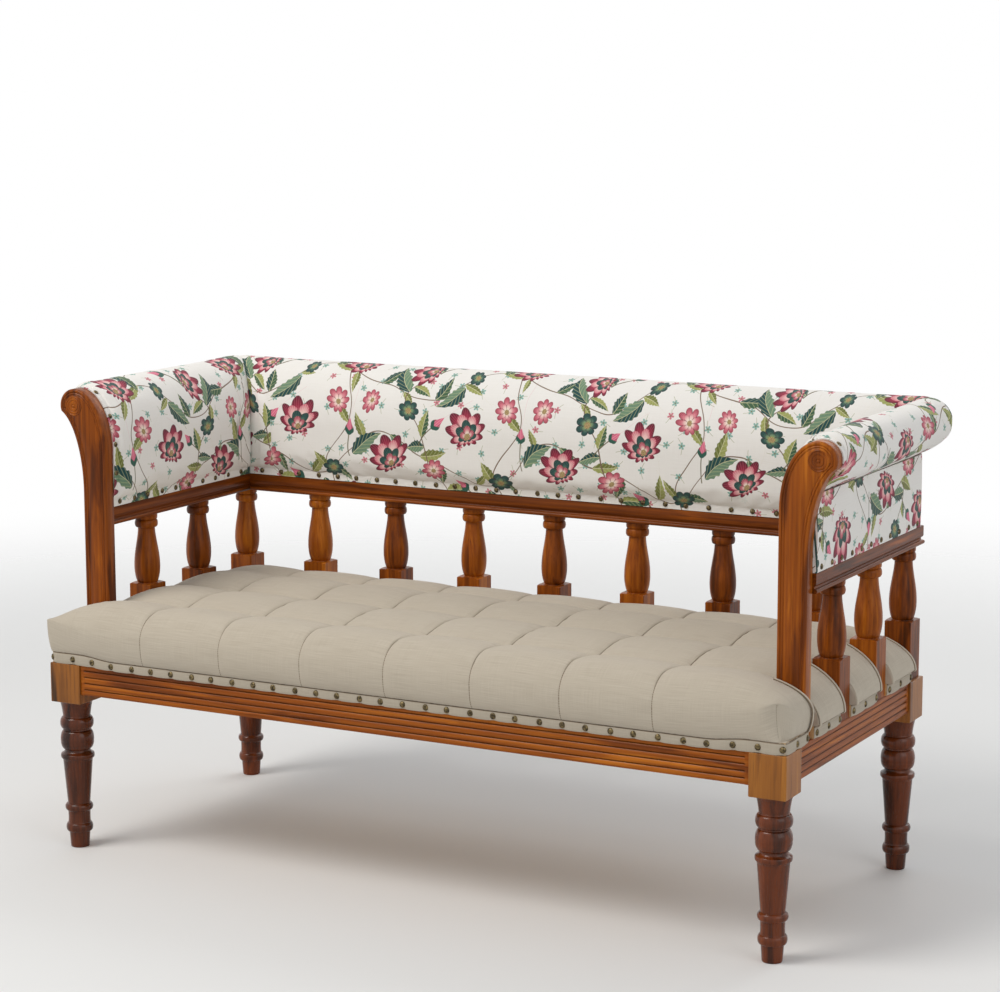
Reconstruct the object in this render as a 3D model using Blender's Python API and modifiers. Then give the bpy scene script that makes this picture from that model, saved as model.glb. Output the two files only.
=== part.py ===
"""A long bench with a tufted seat, and a padded back and arms carried on turned balusters.

Metres, +Z up. The bench stands on the floor at z = 0 and faces -Y, with X along its length.
Pieces are drawn about the centre of the four legs; the root empty then centres the whole bench.
"""
import math

import bmesh
import bpy
from mathutils import Matrix, Vector

# Seat frame: legs with square blocks, and rails between the blocks
FRAME_LENGTH = 1.420          # outside of the leg blocks, along X
FRAME_DEPTH = 0.627           # outside of the leg blocks, along Y
BLOCK = 0.064                 # side of the square leg block
BLOCK_HEIGHT = 0.072
LEG_LENGTH = 0.272            # turned part, floor to block
RAIL_HEIGHT = 0.054
RAIL_THICKNESS = 0.056
RAIL_SETBACK = 0.004          # rail face behind the block face
TENON_LENGTH = 0.020
TENON_THICKNESS = 0.020
TENON_SHOULDER = 0.007        # rail left above and below a tenon
FLUTE_COUNT = 4               # grooves between the reeds of a rail face
FLUTE_PITCH = 0.0113
FLUTE_RADIUS = 0.0034
FLUTE_DEPTH = 0.0024
FLUTE_STOP = 0.006            # plain rail left between a groove and the block
BEARER_WIDTH = 0.045
BEARER_HEIGHT = 0.040
BEARER_TENON = 0.012
BRACE_REACH = 0.140           # along each rail from the inside corner
BRACE_WIDTH = 0.050           # of the end that lies on the rail
BRACE_HEIGHT = 0.036

# Turned leg, from the block down; the shaft takes the height that is left
LEG_SINK = 0.010              # stub of the turning inside the block
CUP_HEIGHT = 0.029
CUP_RADIUS = 0.0306
CUP_NECK = 0.0243
CUP_WAIST = 0.22              # share of the cup's flare left half way down
COLLAR_HEIGHT = 0.022
COLLAR_RADIUS = 0.030
BALL_HEIGHT = 0.036
BALL_RADIUS = 0.030
BALL_NECK = 0.0226
FLARE_HEIGHT = 0.012
FLARE_RADIUS = 0.030
FLARE_LIP = 0.009
SHAFT_TOP_RADIUS = 0.0264
SHAFT_LOW_RADIUS = 0.020
ANKLE_RING_HEIGHT = 0.014
ANKLE_RING_RADIUS = 0.025
ANKLE_HEIGHT = 0.024
FOOT_RING_HEIGHT = 0.016
FOOT_RING_RADIUS = 0.024
FOOT_HEIGHT = 0.029
FOOT_TOP_RADIUS = 0.0185
FOOT_RADIUS = 0.0165

# Seat board, cushion and the nailed band on the edge of the board
BOARD_THICKNESS = 0.020
BAND_THICKNESS = 0.002
CUSHION_EDGE = 0.003          # height of the fullest line above the board, at the ends and the back
FRONT_EDGE = 0.030            # the same in front of the posts
TIP_RISE = 0.024              # further rise of that line to the front corners
BULGE_SIDE = 0.010            # fullest line outside the board, at the ends
BULGE_FRONT = 0.014
BULGE_BACK = 0.007
TIP_PULL = 0.0075             # the front corners draw in by this much along Y
CUSHION_DIP = 0.0755          # tuft dips above the board
PUFF_RISE = 0.0085            # rise of a seam between dips, and again of a puff above its seams
PUFF_POWER = 0.7              # below one, the seams are creases
CORNER_POWER = 12             # how near the corner the fullest line draws in and rises
SHOULDER_SIDE = 0.135         # width over which the cushion rolls down at the ends
SHOULDER_FRONT = 0.058
SHOULDER_BACK = 0.200
TUFT_LENGTH = 0.165           # pitch of the seams along X
TUFT_DEPTH = 0.164            # pitch of the cross seams along Y
TUFT_ROW_Y = -0.018           # middle cross seam
SEAMS_EACH_SIDE = 3           # seams at X to each side of the middle one
CROSS_EACH_SIDE = 1           # cross seams to each side of the middle one

# Uprights: balusters and front posts stand on one line, inside the block faces
UPRIGHT_INSET = 0.030         # line of the uprights inside the block faces
BACK_BAYS = 8
SIDE_PITCH = 0.168            # corner baluster to the next one in the arm
SIDE_BALUSTERS = 2
BASE_SIDE = 0.048             # square base of a baluster
BASE_HEIGHT = 0.104
BASE_EASE = 0.002             # eased top edges of the base
BALUSTER_HEIGHT = 0.131       # turned part
BALUSTER_COLLAR = 0.012       # heights of the turned elements, from the top
BALUSTER_BEAD = 0.015
COLLAR_DISC_RADIUS = 0.0208
GROOVE_RADIUS = 0.0182
BEAD_RADIUS = 0.0214
NECK_RADIUS = 0.0157
VASE_RADIUS = 0.024
VASE_LEVEL = 0.69             # share of the vase height, from the top, where it is fullest
VASE_FOOT_RADIUS = 0.018
VASE_POWER = 1.6              # how late the vase swells below the neck
VASE_WAIST = 0.7              # share of the swell left at the waist above the foot
VASE_WAIST_LEVEL = 0.4        # level of that waist, from the foot to the fullest line
BASE_TENON_SIDE = 0.020       # square stub tenon under the base
BASE_TENON_LENGTH = 0.024
TOP_DOWEL_RADIUS = 0.008
TOP_DOWEL_LENGTH = 0.014

# Moulded mid rail on the balusters
MID_RAIL_WIDTH = 0.052
MID_RAIL_HEIGHT = 0.033
MID_BEAD = 0.0038             # radius of the half-round bead along the lower edge
MID_GROOVE = 0.0035           # depth of the groove above the bead
MID_GROOVE_LOW = 0.005        # heights above the centre of the bead: lower and upper edge, and lip
MID_GROOVE_HIGH = 0.0076
MID_LIP = 0.0114
MID_TENON = 0.010
MID_TENON_WIDTH = 0.0174
MID_TENON_LOW = 0.011         # tenon above the underside of the rail
MID_TENON_HIGH = 0.0275

# Scroll of the arms and the back, drawn outward from the line of the uprights
SCROLL_OUT = 0.036            # centre of the roll outside the line
SCROLL_RISE = 0.183           # centre of the roll above the mid rail
SPRING_RISE = 0.103           # where the inner face starts to curve, above the mid rail
NECK_RISE = 0.028             # where the outer face starts to curve, above the mid rail
POST_SETBACK = 0.0975         # post face behind the front of the leg blocks
POST_THICKNESS = 0.025
POST_INNER = 0.030            # post faces either side of the line of the uprights
POST_OUTER = 0.020
POST_RADIUS = 0.031
POST_TENON_LENGTH = 0.020
POST_TENON_INSET = 0.010
POST_CHEEK = 0.004            # post left before and behind its tenon
WOOD_ROLL_END = math.radians(-20)     # where the roll of wood, and of padding, turns back below
PAD_ROLL_END = math.radians(-55)
ROLL_SWEEP = math.radians(75)         # of the ellipse from there to the neck
ROUNDEL_RADIUS = 0.017
ROUNDEL_WIDTH = 0.005
ROUNDEL_DEPTH = 0.0022
CORE_INNER = 0.010            # wooden frame inside the padding
CORE_OUTER = 0.004
CORE_RADIUS = 0.016
PAD_INNER = 0.040             # face of the padding inside the line
PAD_RADIUS = 0.041
PAD_SWELL = 0.003             # crown of the padding at mid length
PAD_NEAR = 0.12               # shares of the length at which the crown starts and ends
PAD_FAR = 0.88
PAD_TUCK = 0.040              # height over which the padding draws in to the mid rail
TUCK_SHARE = 0.7              # share of the tuck drawn in at a share of its height
TUCK_LEVEL = 0.4
FOLD_RISE = 0.126             # fold under the roll, above the mid rail
FOLD_GAP = 0.003              # roll above the panel at the fold
PANEL_OUTER = 0.026           # face of the outside panel
CORNER_PIVOT = 0.004          # the roll swings round the back corner about this offset

# Fits
FIT = 0.0003                  # between neighbouring pieces
SOFT_FIT = 0.0008             # between padding and the wood inside it

# Facets
LEG_SIDES = 14
BALUSTER_SIDES = 12
FLUTE_SIDES = 8
ROLL_STEPS = 7
CORNER_STEPS = 3

# Heights and lines worked out from the sizes above
SEAT_FRAME_TOP = LEG_LENGTH + BLOCK_HEIGHT
RAIL_BOTTOM = SEAT_FRAME_TOP - RAIL_HEIGHT
BOARD_BOTTOM = SEAT_FRAME_TOP + FIT
BOARD_TOP = BOARD_BOTTOM + BOARD_THICKNESS
CUSHION_BOTTOM = BOARD_TOP + FIT
MID_RAIL_BOTTOM = SEAT_FRAME_TOP + BASE_HEIGHT + BALUSTER_HEIGHT
MID_RAIL_TOP = MID_RAIL_BOTTOM + MID_RAIL_HEIGHT
PADDING_BOTTOM = MID_RAIL_TOP + FIT
RAIL_FACE_X = FRAME_LENGTH / 2 - RAIL_SETBACK
RAIL_FACE_Y = FRAME_DEPTH / 2 - RAIL_SETBACK
RAIL_INNER_X = RAIL_FACE_X - RAIL_THICKNESS
RAIL_INNER_Y = RAIL_FACE_Y - RAIL_THICKNESS
LEG_X = FRAME_LENGTH / 2 - BLOCK / 2
LEG_Y = FRAME_DEPTH / 2 - BLOCK / 2
UPRIGHT_X = FRAME_LENGTH / 2 - UPRIGHT_INSET
UPRIGHT_Y = FRAME_DEPTH / 2 - UPRIGHT_INSET
POST_FRONT = -FRAME_DEPTH / 2 + POST_SETBACK
POST_BACK = POST_FRONT + POST_THICKNESS
ROLL_LEVEL = MID_RAIL_TOP + SCROLL_RISE
FOLD_LEVEL = MID_RAIL_TOP + FOLD_RISE
CUSHION_X = RAIL_FACE_X + BULGE_SIDE
CUSHION_FRONT = -RAIL_FACE_Y - BULGE_FRONT
CUSHION_BACK = RAIL_FACE_Y + BULGE_BACK
BENCH_FRONT = CUSHION_FRONT
BENCH_BACK = UPRIGHT_Y + SCROLL_OUT + PAD_RADIUS
SIDES = {"left": -1, "right": 1}
BACK_PLACES = [-UPRIGHT_X + 2 * UPRIGHT_X * k / BACK_BAYS for k in range(BACK_BAYS + 1)]
SIDE_PLACES = [UPRIGHT_Y - SIDE_PITCH * (k + 1) for k in range(SIDE_BALUSTERS)]


def start_scene():
    """Empties the scene and returns the collection of parts and the root that carries them."""
    for old in list(bpy.data.objects):
        bpy.data.objects.remove(old, do_unlink=True)
    parts = bpy.data.collections.new("balustrade_bench")
    bpy.context.scene.collection.children.link(parts)
    root = bpy.data.objects.new("bench_root", None)
    root.location = (0, -(BENCH_FRONT + BENCH_BACK) / 2, 0)
    parts.objects.link(root)
    return parts, root


PARTS, ROOT = start_scene()


def finish(name, colour, roughness):
    """A plain Principled material."""
    made = bpy.data.materials.new(name)
    made.use_nodes = True
    shader = made.node_tree.nodes["Principled BSDF"]
    shader.inputs["Base Color"].default_value = (*colour, 1)
    shader.inputs["Roughness"].default_value = roughness
    shader.inputs["Metallic"].default_value = 0
    return made


RAIL_WOOD = finish("honey_lacquered_wood", (0.36, 0.14, 0.035), 0.35)
LEG_WOOD = finish("dark_turned_wood", (0.17, 0.052, 0.017), 0.28)
PLAIN_WOOD = finish("plain_frame_timber", (0.52, 0.36, 0.2), 0.7)
BOARD_PLY = finish("seat_plywood", (0.58, 0.43, 0.27), 0.7)
SEAT_LINEN = finish("greige_linen", (0.56, 0.49, 0.385), 0.9)
FLORAL_CLOTH = finish("floral_cotton", (0.76, 0.73, 0.68), 0.85)


def add_part(name, mesh, material, location=(0, 0, 0), turn=0.0):
    """Adds one piece to the bench: its mesh, its finish and its place."""
    mesh.materials.clear()
    mesh.materials.append(material)
    part = bpy.data.objects.new(name, mesh)
    part.parent = ROOT
    part.location = location
    part.rotation_euler = (0, 0, turn)
    PARTS.objects.link(part)
    return part


def smooth(mesh):
    """Shades a round piece smooth, with its sharp edges kept."""
    mesh.shade_smooth()
    mesh.set_sharp_from_angle(angle=math.radians(40))
    return mesh


def evaluated(mesh, set_up):
    """A new mesh made from mesh after set_up has put modifiers on a passing object that holds it."""
    holder = bpy.data.objects.new("holder", mesh)
    bpy.context.scene.collection.objects.link(holder)
    set_up(holder)
    bpy.context.view_layer.update()
    graph = bpy.context.evaluated_depsgraph_get()
    made = bpy.data.meshes.new_from_object(holder.evaluated_get(graph))
    bpy.data.objects.remove(holder, do_unlink=True)
    return made


def combine(mesh, tool, operation):
    """Boolean of two meshes in the same frame."""
    cutter = bpy.data.objects.new("cutter", tool)
    cutter.hide_render = True
    cutter.display_type = "WIRE"
    bpy.context.scene.collection.objects.link(cutter)

    def set_up(holder):
        cut = holder.modifiers.new("cut", "BOOLEAN")
        cut.operation = operation
        cut.object = cutter

    made = evaluated(mesh, set_up)
    bpy.data.objects.remove(cutter, do_unlink=True)
    return made


def to_mesh(work):
    """Turns a bmesh with outward faces into a mesh."""
    bmesh.ops.recalc_face_normals(work, faces=work.faces)
    made = bpy.data.meshes.new("shape")
    work.to_mesh(made)
    work.free()
    return made


def boxes(corners):
    """One mesh of boxes, each given by its lowest and highest corner."""
    work = bmesh.new()
    for low, high in corners:
        low = Vector(low)
        high = Vector(high)
        place = Matrix.Translation((low + high) / 2) @ Matrix.Diagonal((*(high - low), 1))
        bmesh.ops.create_cube(work, size=1, matrix=place)
    return to_mesh(work)


def spindles(profile, sides, places):
    """One mesh of equal turnings of a profile, radius and height from the top down."""
    def set_up(holder):
        screw = holder.modifiers.new("turn", "SCREW")
        screw.steps = sides
        screw.render_steps = sides
        screw.use_merge_vertices = True
        screw.merge_threshold = 0.0001

    line = bpy.data.meshes.new("profile")
    edges = [(k, k + 1) for k in range(len(profile) - 1)]
    line.from_pydata([(radius, 0, height) for radius, height in profile], edges, [])
    turned = evaluated(line, set_up)
    work = bmesh.new()
    for place in places:
        copy = turned.copy()
        copy.transform(Matrix.Translation(place))
        work.from_mesh(copy)
        bpy.data.meshes.remove(copy)
    bmesh.ops.remove_doubles(work, verts=work.verts, dist=0.00001)
    made = bpy.data.meshes.new("turning")
    work.to_mesh(made)
    work.free()
    return made


def plate(outline, thickness):
    """A flat outline given as points, with half its thickness to each side of its plane."""
    curve = bpy.data.curves.new("outline", "CURVE")
    curve.dimensions = "2D"
    curve.fill_mode = "BOTH"
    curve.extrude = thickness / 2
    spline = curve.splines.new("POLY")
    spline.points.add(len(outline) - 1)
    for point, (across, up) in zip(spline.points, outline):
        point.co = (across, up, 0, 1)
    spline.use_cyclic_u = True
    made = evaluated(curve, lambda holder: None)
    work = bmesh.new()
    work.from_mesh(made)
    bmesh.ops.remove_doubles(work, verts=work.verts, dist=0.00001)
    return to_mesh(work)


def loft(rings):
    """A closed solid through rings of points, with flat ends; each side face is two triangles."""
    work = bmesh.new()
    rows = [[work.verts.new(point) for point in ring] for ring in rings]
    count = len(rows[0])
    for near, far in zip(rows, rows[1:]):
        for k in range(count):
            after = (k + 1) % count
            work.faces.new((near[k], near[after], far[after]))
            work.faces.new((near[k], far[after], far[k]))
    work.faces.new(rows[0])
    work.faces.new(rows[-1])
    return to_mesh(work)


def bead(top, height, neck, swell, steps=4):
    """Profile of a turned bead: the radius swells from neck to swell as half a sine wave."""
    turns = [k / steps for k in range(steps + 1)]
    return [(neck + (swell - neck) * math.sin(math.pi * t), top - height * t) for t in turns]


def leg_profile():
    """Profile of the turned leg from inside the block to the floor."""
    points = [(0, LEG_LENGTH + LEG_SINK), (CUP_RADIUS, LEG_LENGTH + LEG_SINK), (CUP_RADIUS, LEG_LENGTH)]
    level = LEG_LENGTH
    cup_waist = CUP_NECK + (CUP_RADIUS - CUP_NECK) * CUP_WAIST
    points += [(cup_waist, level - CUP_HEIGHT / 2), (CUP_NECK, level - CUP_HEIGHT)]
    level -= CUP_HEIGHT
    points += bead(level, COLLAR_HEIGHT, CUP_NECK, COLLAR_RADIUS)[1:]
    level -= COLLAR_HEIGHT
    points += bead(level, BALL_HEIGHT, BALL_NECK, BALL_RADIUS, 6)[1:]
    level -= BALL_HEIGHT
    points += [(FLARE_RADIUS, level - FLARE_HEIGHT)]
    level -= FLARE_HEIGHT
    points += [(SHAFT_TOP_RADIUS, level - FLARE_LIP)]
    below = ANKLE_RING_HEIGHT + ANKLE_HEIGHT + FOOT_RING_HEIGHT + FOOT_HEIGHT
    points += bead(below, ANKLE_RING_HEIGHT, SHAFT_LOW_RADIUS, ANKLE_RING_RADIUS)
    below -= ANKLE_RING_HEIGHT + ANKLE_HEIGHT
    points += bead(below, FOOT_RING_HEIGHT, SHAFT_LOW_RADIUS, FOOT_RING_RADIUS)
    points += [(FOOT_TOP_RADIUS, FOOT_HEIGHT), (FOOT_RADIUS, 0), (0, 0)]
    return points


def tenon_box(length, half_width):
    """Corners of a rail's tenon along X: length is half the span it reaches."""
    low = (-length, -half_width, RAIL_BOTTOM + TENON_SHOULDER)
    high = (length, half_width, SEAT_FRAME_TOP - TENON_SHOULDER)
    return low, high


def base_mortises(places):
    """Boxes for the stub tenons of balusters that stand at the given places on the seat frame."""
    half = BASE_TENON_SIDE / 2 + FIT
    low = SEAT_FRAME_TOP - BASE_TENON_LENGTH - FIT
    high = SEAT_FRAME_TOP + BASE_TENON_LENGTH
    return [((x - half, y - half, low), (x + half, y + half, high)) for x, y in places]


def make_legs():
    """Four legs: a block with two mortises for the rails over a turned leg; the back two carry balusters."""
    half = BLOCK / 2
    reach = half - TENON_LENGTH - FIT
    width = TENON_THICKNESS / 2 + FIT
    low_z = RAIL_BOTTOM + TENON_SHOULDER - FIT
    high_z = SEAT_FRAME_TOP - TENON_SHOULDER + FIT
    block = boxes([((-half, -half, LEG_LENGTH), (half, half, SEAT_FRAME_TOP))])
    turned = spindles(leg_profile(), LEG_SIDES, [(0, 0, 0)])
    leg = combine(block, turned, "UNION")
    along = ((reach, -width, low_z), (BLOCK, width, high_z))
    across = ((-width, reach, low_z), (width, BLOCK, high_z))
    for mortise in (along, across):
        leg = combine(leg, boxes([mortise]), "DIFFERENCE")
    offset = half - UPRIGHT_INSET
    carrier = combine(leg.copy(), boxes(base_mortises([(-offset, -offset)])), "DIFFERENCE")
    quarter = math.pi / 2
    for name, side in SIDES.items():
        # A quarter turn brings the mortises of the left leg round to the right one.
        turn = 0 if side < 0 else quarter
        add_part("leg_front_" + name, smooth(leg.copy()), LEG_WOOD, (side * LEG_X, -LEG_Y, 0), turn)
        turn = 3 * quarter if side < 0 else 2 * quarter
        add_part("leg_back_" + name, smooth(carrier.copy()), LEG_WOOD, (side * LEG_X, LEG_Y, 0), turn)


def flutes(length):
    """Capsules lying in the face of a rail of the given length, one above the other."""
    work = bmesh.new()
    half = length / 2 - FLUTE_STOP - FLUTE_RADIUS
    middle = (SEAT_FRAME_TOP + RAIL_BOTTOM) / 2
    face = RAIL_THICKNESS / 2 + FLUTE_RADIUS - FLUTE_DEPTH
    lie = Matrix.Rotation(math.pi / 2, 4, "Y")
    for k in range(FLUTE_COUNT):
        level = middle + (k - (FLUTE_COUNT - 1) / 2) * FLUTE_PITCH
        made = bmesh.ops.create_uvsphere(work, u_segments=FLUTE_SIDES, v_segments=5,
                                         radius=FLUTE_RADIUS, matrix=lie)
        for vert in made["verts"]:
            stretch = half if vert.co.x > 0 else -half
            vert.co += Vector((stretch, -face, level))
    return to_mesh(work)


def rail_mesh(length, mortises):
    """A reeded rail along X with its outer face towards -Y, a tenon at each end, and mortises."""
    half = length / 2 - FIT
    body = boxes([((-half, -RAIL_THICKNESS / 2, RAIL_BOTTOM), (half, RAIL_THICKNESS / 2, SEAT_FRAME_TOP))])
    tenons = boxes([tenon_box(length / 2 + TENON_LENGTH, TENON_THICKNESS / 2)])
    rail = combine(body, tenons, "UNION")
    rail = combine(rail, flutes(length), "DIFFERENCE")
    return combine(rail, boxes(mortises), "DIFFERENCE")


def make_seat_rails():
    """Front and back rails with a mortise for the bearer; side rails with one for the arm post."""
    long_span = FRAME_LENGTH - 2 * BLOCK
    short_span = FRAME_DEPTH - 2 * BLOCK
    middle_x = (RAIL_FACE_X + RAIL_INNER_X) / 2
    middle_y = (RAIL_FACE_Y + RAIL_INNER_Y) / 2
    inner = RAIL_THICKNESS / 2
    bearer = ((-BEARER_WIDTH / 2 - FIT, inner - BEARER_TENON - FIT, SEAT_FRAME_TOP - BEARER_HEIGHT - FIT),
              (BEARER_WIDTH / 2 + FIT, inner + BEARER_TENON, SEAT_FRAME_TOP + BEARER_TENON))
    front = rail_mesh(long_span, [bearer])
    add_part("seat_rail_front", front, RAIL_WOOD, (0, -middle_y, 0))
    line = middle_y - UPRIGHT_Y
    stands = base_mortises([(place, line) for place in BACK_PLACES[1:-1]])
    back = rail_mesh(long_span, stands + [bearer])
    add_part("seat_rail_back", back, RAIL_WOOD, (0, middle_y, 0), math.pi)
    line = middle_x - UPRIGHT_X
    tenon_low = line - POST_OUTER + POST_TENON_INSET - FIT
    tenon_high = line + POST_INNER - POST_TENON_INSET + FIT
    for name, side in SIDES.items():
        # The right rail is the rail turned so that its outer face looks to +X, the left one to -X.
        stands = base_mortises([(side * place, line) for place in SIDE_PLACES])
        ends = sorted((side * (POST_FRONT + POST_CHEEK), side * (POST_BACK - POST_CHEEK)))
        post = ((ends[0] - FIT, tenon_low, SEAT_FRAME_TOP - POST_TENON_LENGTH - FIT),
                (ends[1] + FIT, tenon_high, SEAT_FRAME_TOP + POST_TENON_LENGTH))
        rail = rail_mesh(short_span, stands + [post])
        add_part("seat_rail_" + name, rail, RAIL_WOOD, (side * middle_x, 0, 0), side * math.pi / 2)


def make_bearer_and_braces():
    """A bearer tenoned into the long rails, and a brace across each inside corner."""
    span = RAIL_INNER_Y + BEARER_TENON
    bearer = boxes([((-BEARER_WIDTH / 2, -span, SEAT_FRAME_TOP - BEARER_HEIGHT),
                     (BEARER_WIDTH / 2, span, SEAT_FRAME_TOP))])
    add_part("seat_bearer", bearer, PLAIN_WOOD)
    near = BRACE_REACH - BRACE_WIDTH
    outline = [(FIT, BRACE_REACH), (FIT, near), (near, FIT), (BRACE_REACH, FIT)]
    level = (SEAT_FRAME_TOP + RAIL_BOTTOM) / 2
    for name, side in SIDES.items():
        for end, way in (("front", -1), ("back", 1)):
            corner = [(side * (RAIL_INNER_X - across), way * (RAIL_INNER_Y - up)) for across, up in outline]
            add_part(f"corner_brace_{end}_{name}", plate(corner, BRACE_HEIGHT), PLAIN_WOOD, (0, 0, level))


def upright_notches(clearance, low, high):
    """Boxes round every upright, open to the outside, for cutting the board and the cushion."""
    half = BASE_SIDE / 2 + clearance
    beyond = UPRIGHT_INSET + BULGE_FRONT + BASE_SIDE
    cuts = []
    for place in BACK_PLACES[1:-1]:
        cuts.append(((place - half, UPRIGHT_Y - half, low), (place + half, UPRIGHT_Y + beyond, high)))
    for side in SIDES.values():
        ends = sorted((side * (UPRIGHT_X - half), side * (UPRIGHT_X + beyond)))
        for place in SIDE_PLACES:
            cuts.append(((ends[0], place - half, low), (ends[1], place + half, high)))
        cuts.append(((ends[0], UPRIGHT_Y - half, low), (ends[1], UPRIGHT_Y + beyond, high)))
        ends = sorted((side * (UPRIGHT_X - POST_INNER - clearance), side * (UPRIGHT_X + beyond)))
        cuts.append(((ends[0], POST_FRONT - clearance, low), (ends[1], POST_BACK + clearance, high)))
    return boxes(cuts)


def make_board():
    """Plywood on the rails, flush with their faces and notched round the uprights."""
    board = boxes([((-RAIL_FACE_X, -RAIL_FACE_Y, BOARD_BOTTOM), (RAIL_FACE_X, RAIL_FACE_Y, BOARD_TOP))])
    notches = upright_notches(FIT, SEAT_FRAME_TOP - BOARD_THICKNESS, BOARD_TOP + BOARD_THICKNESS)
    add_part("seat_board", combine(board, notches, "DIFFERENCE"), BOARD_PLY)


def make_bands():
    """A strip on the edge of the board for each lobe: one round the front, the rest between uprights."""
    edge = RAIL_FACE_X + FIT
    front = RAIL_FACE_Y + FIT
    thick = BAND_THICKNESS
    level = BOARD_BOTTOM + FIT + BOARD_THICKNESS / 2
    height = BOARD_THICKNESS - FIT
    stop = POST_FRONT - FIT
    outline = [(-edge - thick, stop), (-edge - thick, -front - thick), (edge + thick, -front - thick),
               (edge + thick, stop), (edge, stop), (edge, -front), (-edge, -front), (-edge, stop)]
    add_part("seat_band_front", plate(outline, height), SEAT_LINEN, (0, 0, level))
    low = level - height / 2
    high = level + height / 2
    half = BASE_SIDE / 2 + FIT
    stops = [POST_BACK + FIT]
    for place in reversed(SIDE_PLACES):
        stops += [place - half, place + half]
    stops += [UPRIGHT_Y - half]
    for name, side in SIDES.items():
        ends = sorted((side * edge, side * (edge + thick)))
        for k in range(0, len(stops), 2):
            strip = boxes([((ends[0], stops[k], low), (ends[1], stops[k + 1], high))])
            add_part(f"seat_band_{name}_{k // 2 + 1}", strip, SEAT_LINEN)
    for k, (near, far) in enumerate(zip(BACK_PLACES, BACK_PLACES[1:])):
        strip = boxes([((near + half, front, low), (far - half, front + thick, high))])
        add_part(f"seat_band_back_{k + 1}", strip, SEAT_LINEN)


def cushion_lines(edge_low, edge_high, middle, pitch, each_side, steps=4, end_steps=5):
    """Grid places across the cushion: even between the seams, closing up towards the edges."""
    first = middle - pitch * each_side
    last = middle + pitch * each_side
    inner = [first + (last - first) * k / (2 * each_side * steps) for k in range(2 * each_side * steps + 1)]
    ease = [math.sin(math.pi / 2 * (k + 1) / end_steps) for k in range(end_steps)]
    below = [first + (edge_low - first) * e for e in reversed(ease)]
    above = [last + (edge_high - last) * e for e in ease]
    return below + inner + above


def shoulder(inside, width):
    """Share of full height at a distance inside the fullest line: a quarter round, then level."""
    share = min(max(inside / width, 0), 1)
    return math.sqrt(1 - (1 - share) ** 2)


def puff(distance, pitch):
    """Rise between seams: nought on a seam, one half way to the next."""
    return abs(math.sin(math.pi * distance / pitch)) ** PUFF_POWER


def cushion_height(x, y):
    """Height of the fullest line near a place, and the share of the way from it up to the crown."""
    front = min(max((POST_BACK - y) / POST_THICKNESS, 0), 1)
    tip = (abs(x) / CUSHION_X * max(y / CUSHION_FRONT, 0)) ** CORNER_POWER
    edge = CUSHION_EDGE + (FRONT_EDGE - CUSHION_EDGE) * front + TIP_RISE * tip
    share = shoulder(CUSHION_X - abs(x), SHOULDER_SIDE)
    share *= shoulder(y - CUSHION_FRONT, SHOULDER_FRONT) * shoulder(CUSHION_BACK - y, SHOULDER_BACK)
    return edge, share, tip


def make_cushion():
    """Crowned cushion sewn in a grid: seams dip, puffs rise, and it rolls down to the edge of the board.

    Between the uprights the edge lies close on the board; in front it stands up and ends in two tips.
    """
    across = cushion_lines(-CUSHION_X, CUSHION_X, 0, TUFT_LENGTH, SEAMS_EACH_SIDE)
    along = cushion_lines(CUSHION_FRONT, CUSHION_BACK, TUFT_ROW_Y, TUFT_DEPTH, CROSS_EACH_SIDE)
    work = bmesh.new()
    bmesh.ops.create_grid(work, x_segments=len(across) - 1, y_segments=len(along) - 1, size=1)
    last_seam = TUFT_LENGTH * SEAMS_EACH_SIDE
    for vert in work.verts:
        x = across[round((vert.co.x + 1) / 2 * (len(across) - 1))]
        y = along[round((vert.co.y + 1) / 2 * (len(along) - 1))]
        edge, share, tip = cushion_height(x, y)
        beyond = max(abs(x) - last_seam, 0)
        column = puff(min(beyond, TUFT_LENGTH / 2) if beyond else x, TUFT_LENGTH)
        row = puff(y - TUFT_ROW_Y, TUFT_DEPTH)
        crown = CUSHION_DIP + PUFF_RISE * (column + row)
        vert.co = (x, y + TIP_PULL * tip, CUSHION_BOTTOM + edge + (crown - edge) * share)
    rim = [edge for edge in work.edges if edge.is_boundary]
    drawn = bmesh.ops.extrude_edge_only(work, edges=rim)["geom"]
    low_edges = [item for item in drawn if isinstance(item, bmesh.types.BMEdge) and item.is_boundary]
    for vert in {vert for edge in low_edges for vert in edge.verts}:
        vert.co.x = max(-RAIL_FACE_X, min(RAIL_FACE_X, vert.co.x))
        vert.co.y = max(-RAIL_FACE_Y, min(RAIL_FACE_Y, vert.co.y))
        vert.co.z = CUSHION_BOTTOM
    bmesh.ops.remove_doubles(work, verts=work.verts, dist=0.00001)
    rim = [edge for edge in work.edges if edge.is_boundary]
    bmesh.ops.edgeloop_fill(work, edges=rim)
    cushion = to_mesh(work)
    notches = upright_notches(SOFT_FIT, CUSHION_BOTTOM - BOARD_THICKNESS, CUSHION_BOTTOM + BASE_HEIGHT)
    add_part("seat_cushion", smooth(combine(cushion, notches, "DIFFERENCE")), SEAT_LINEN)


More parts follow.
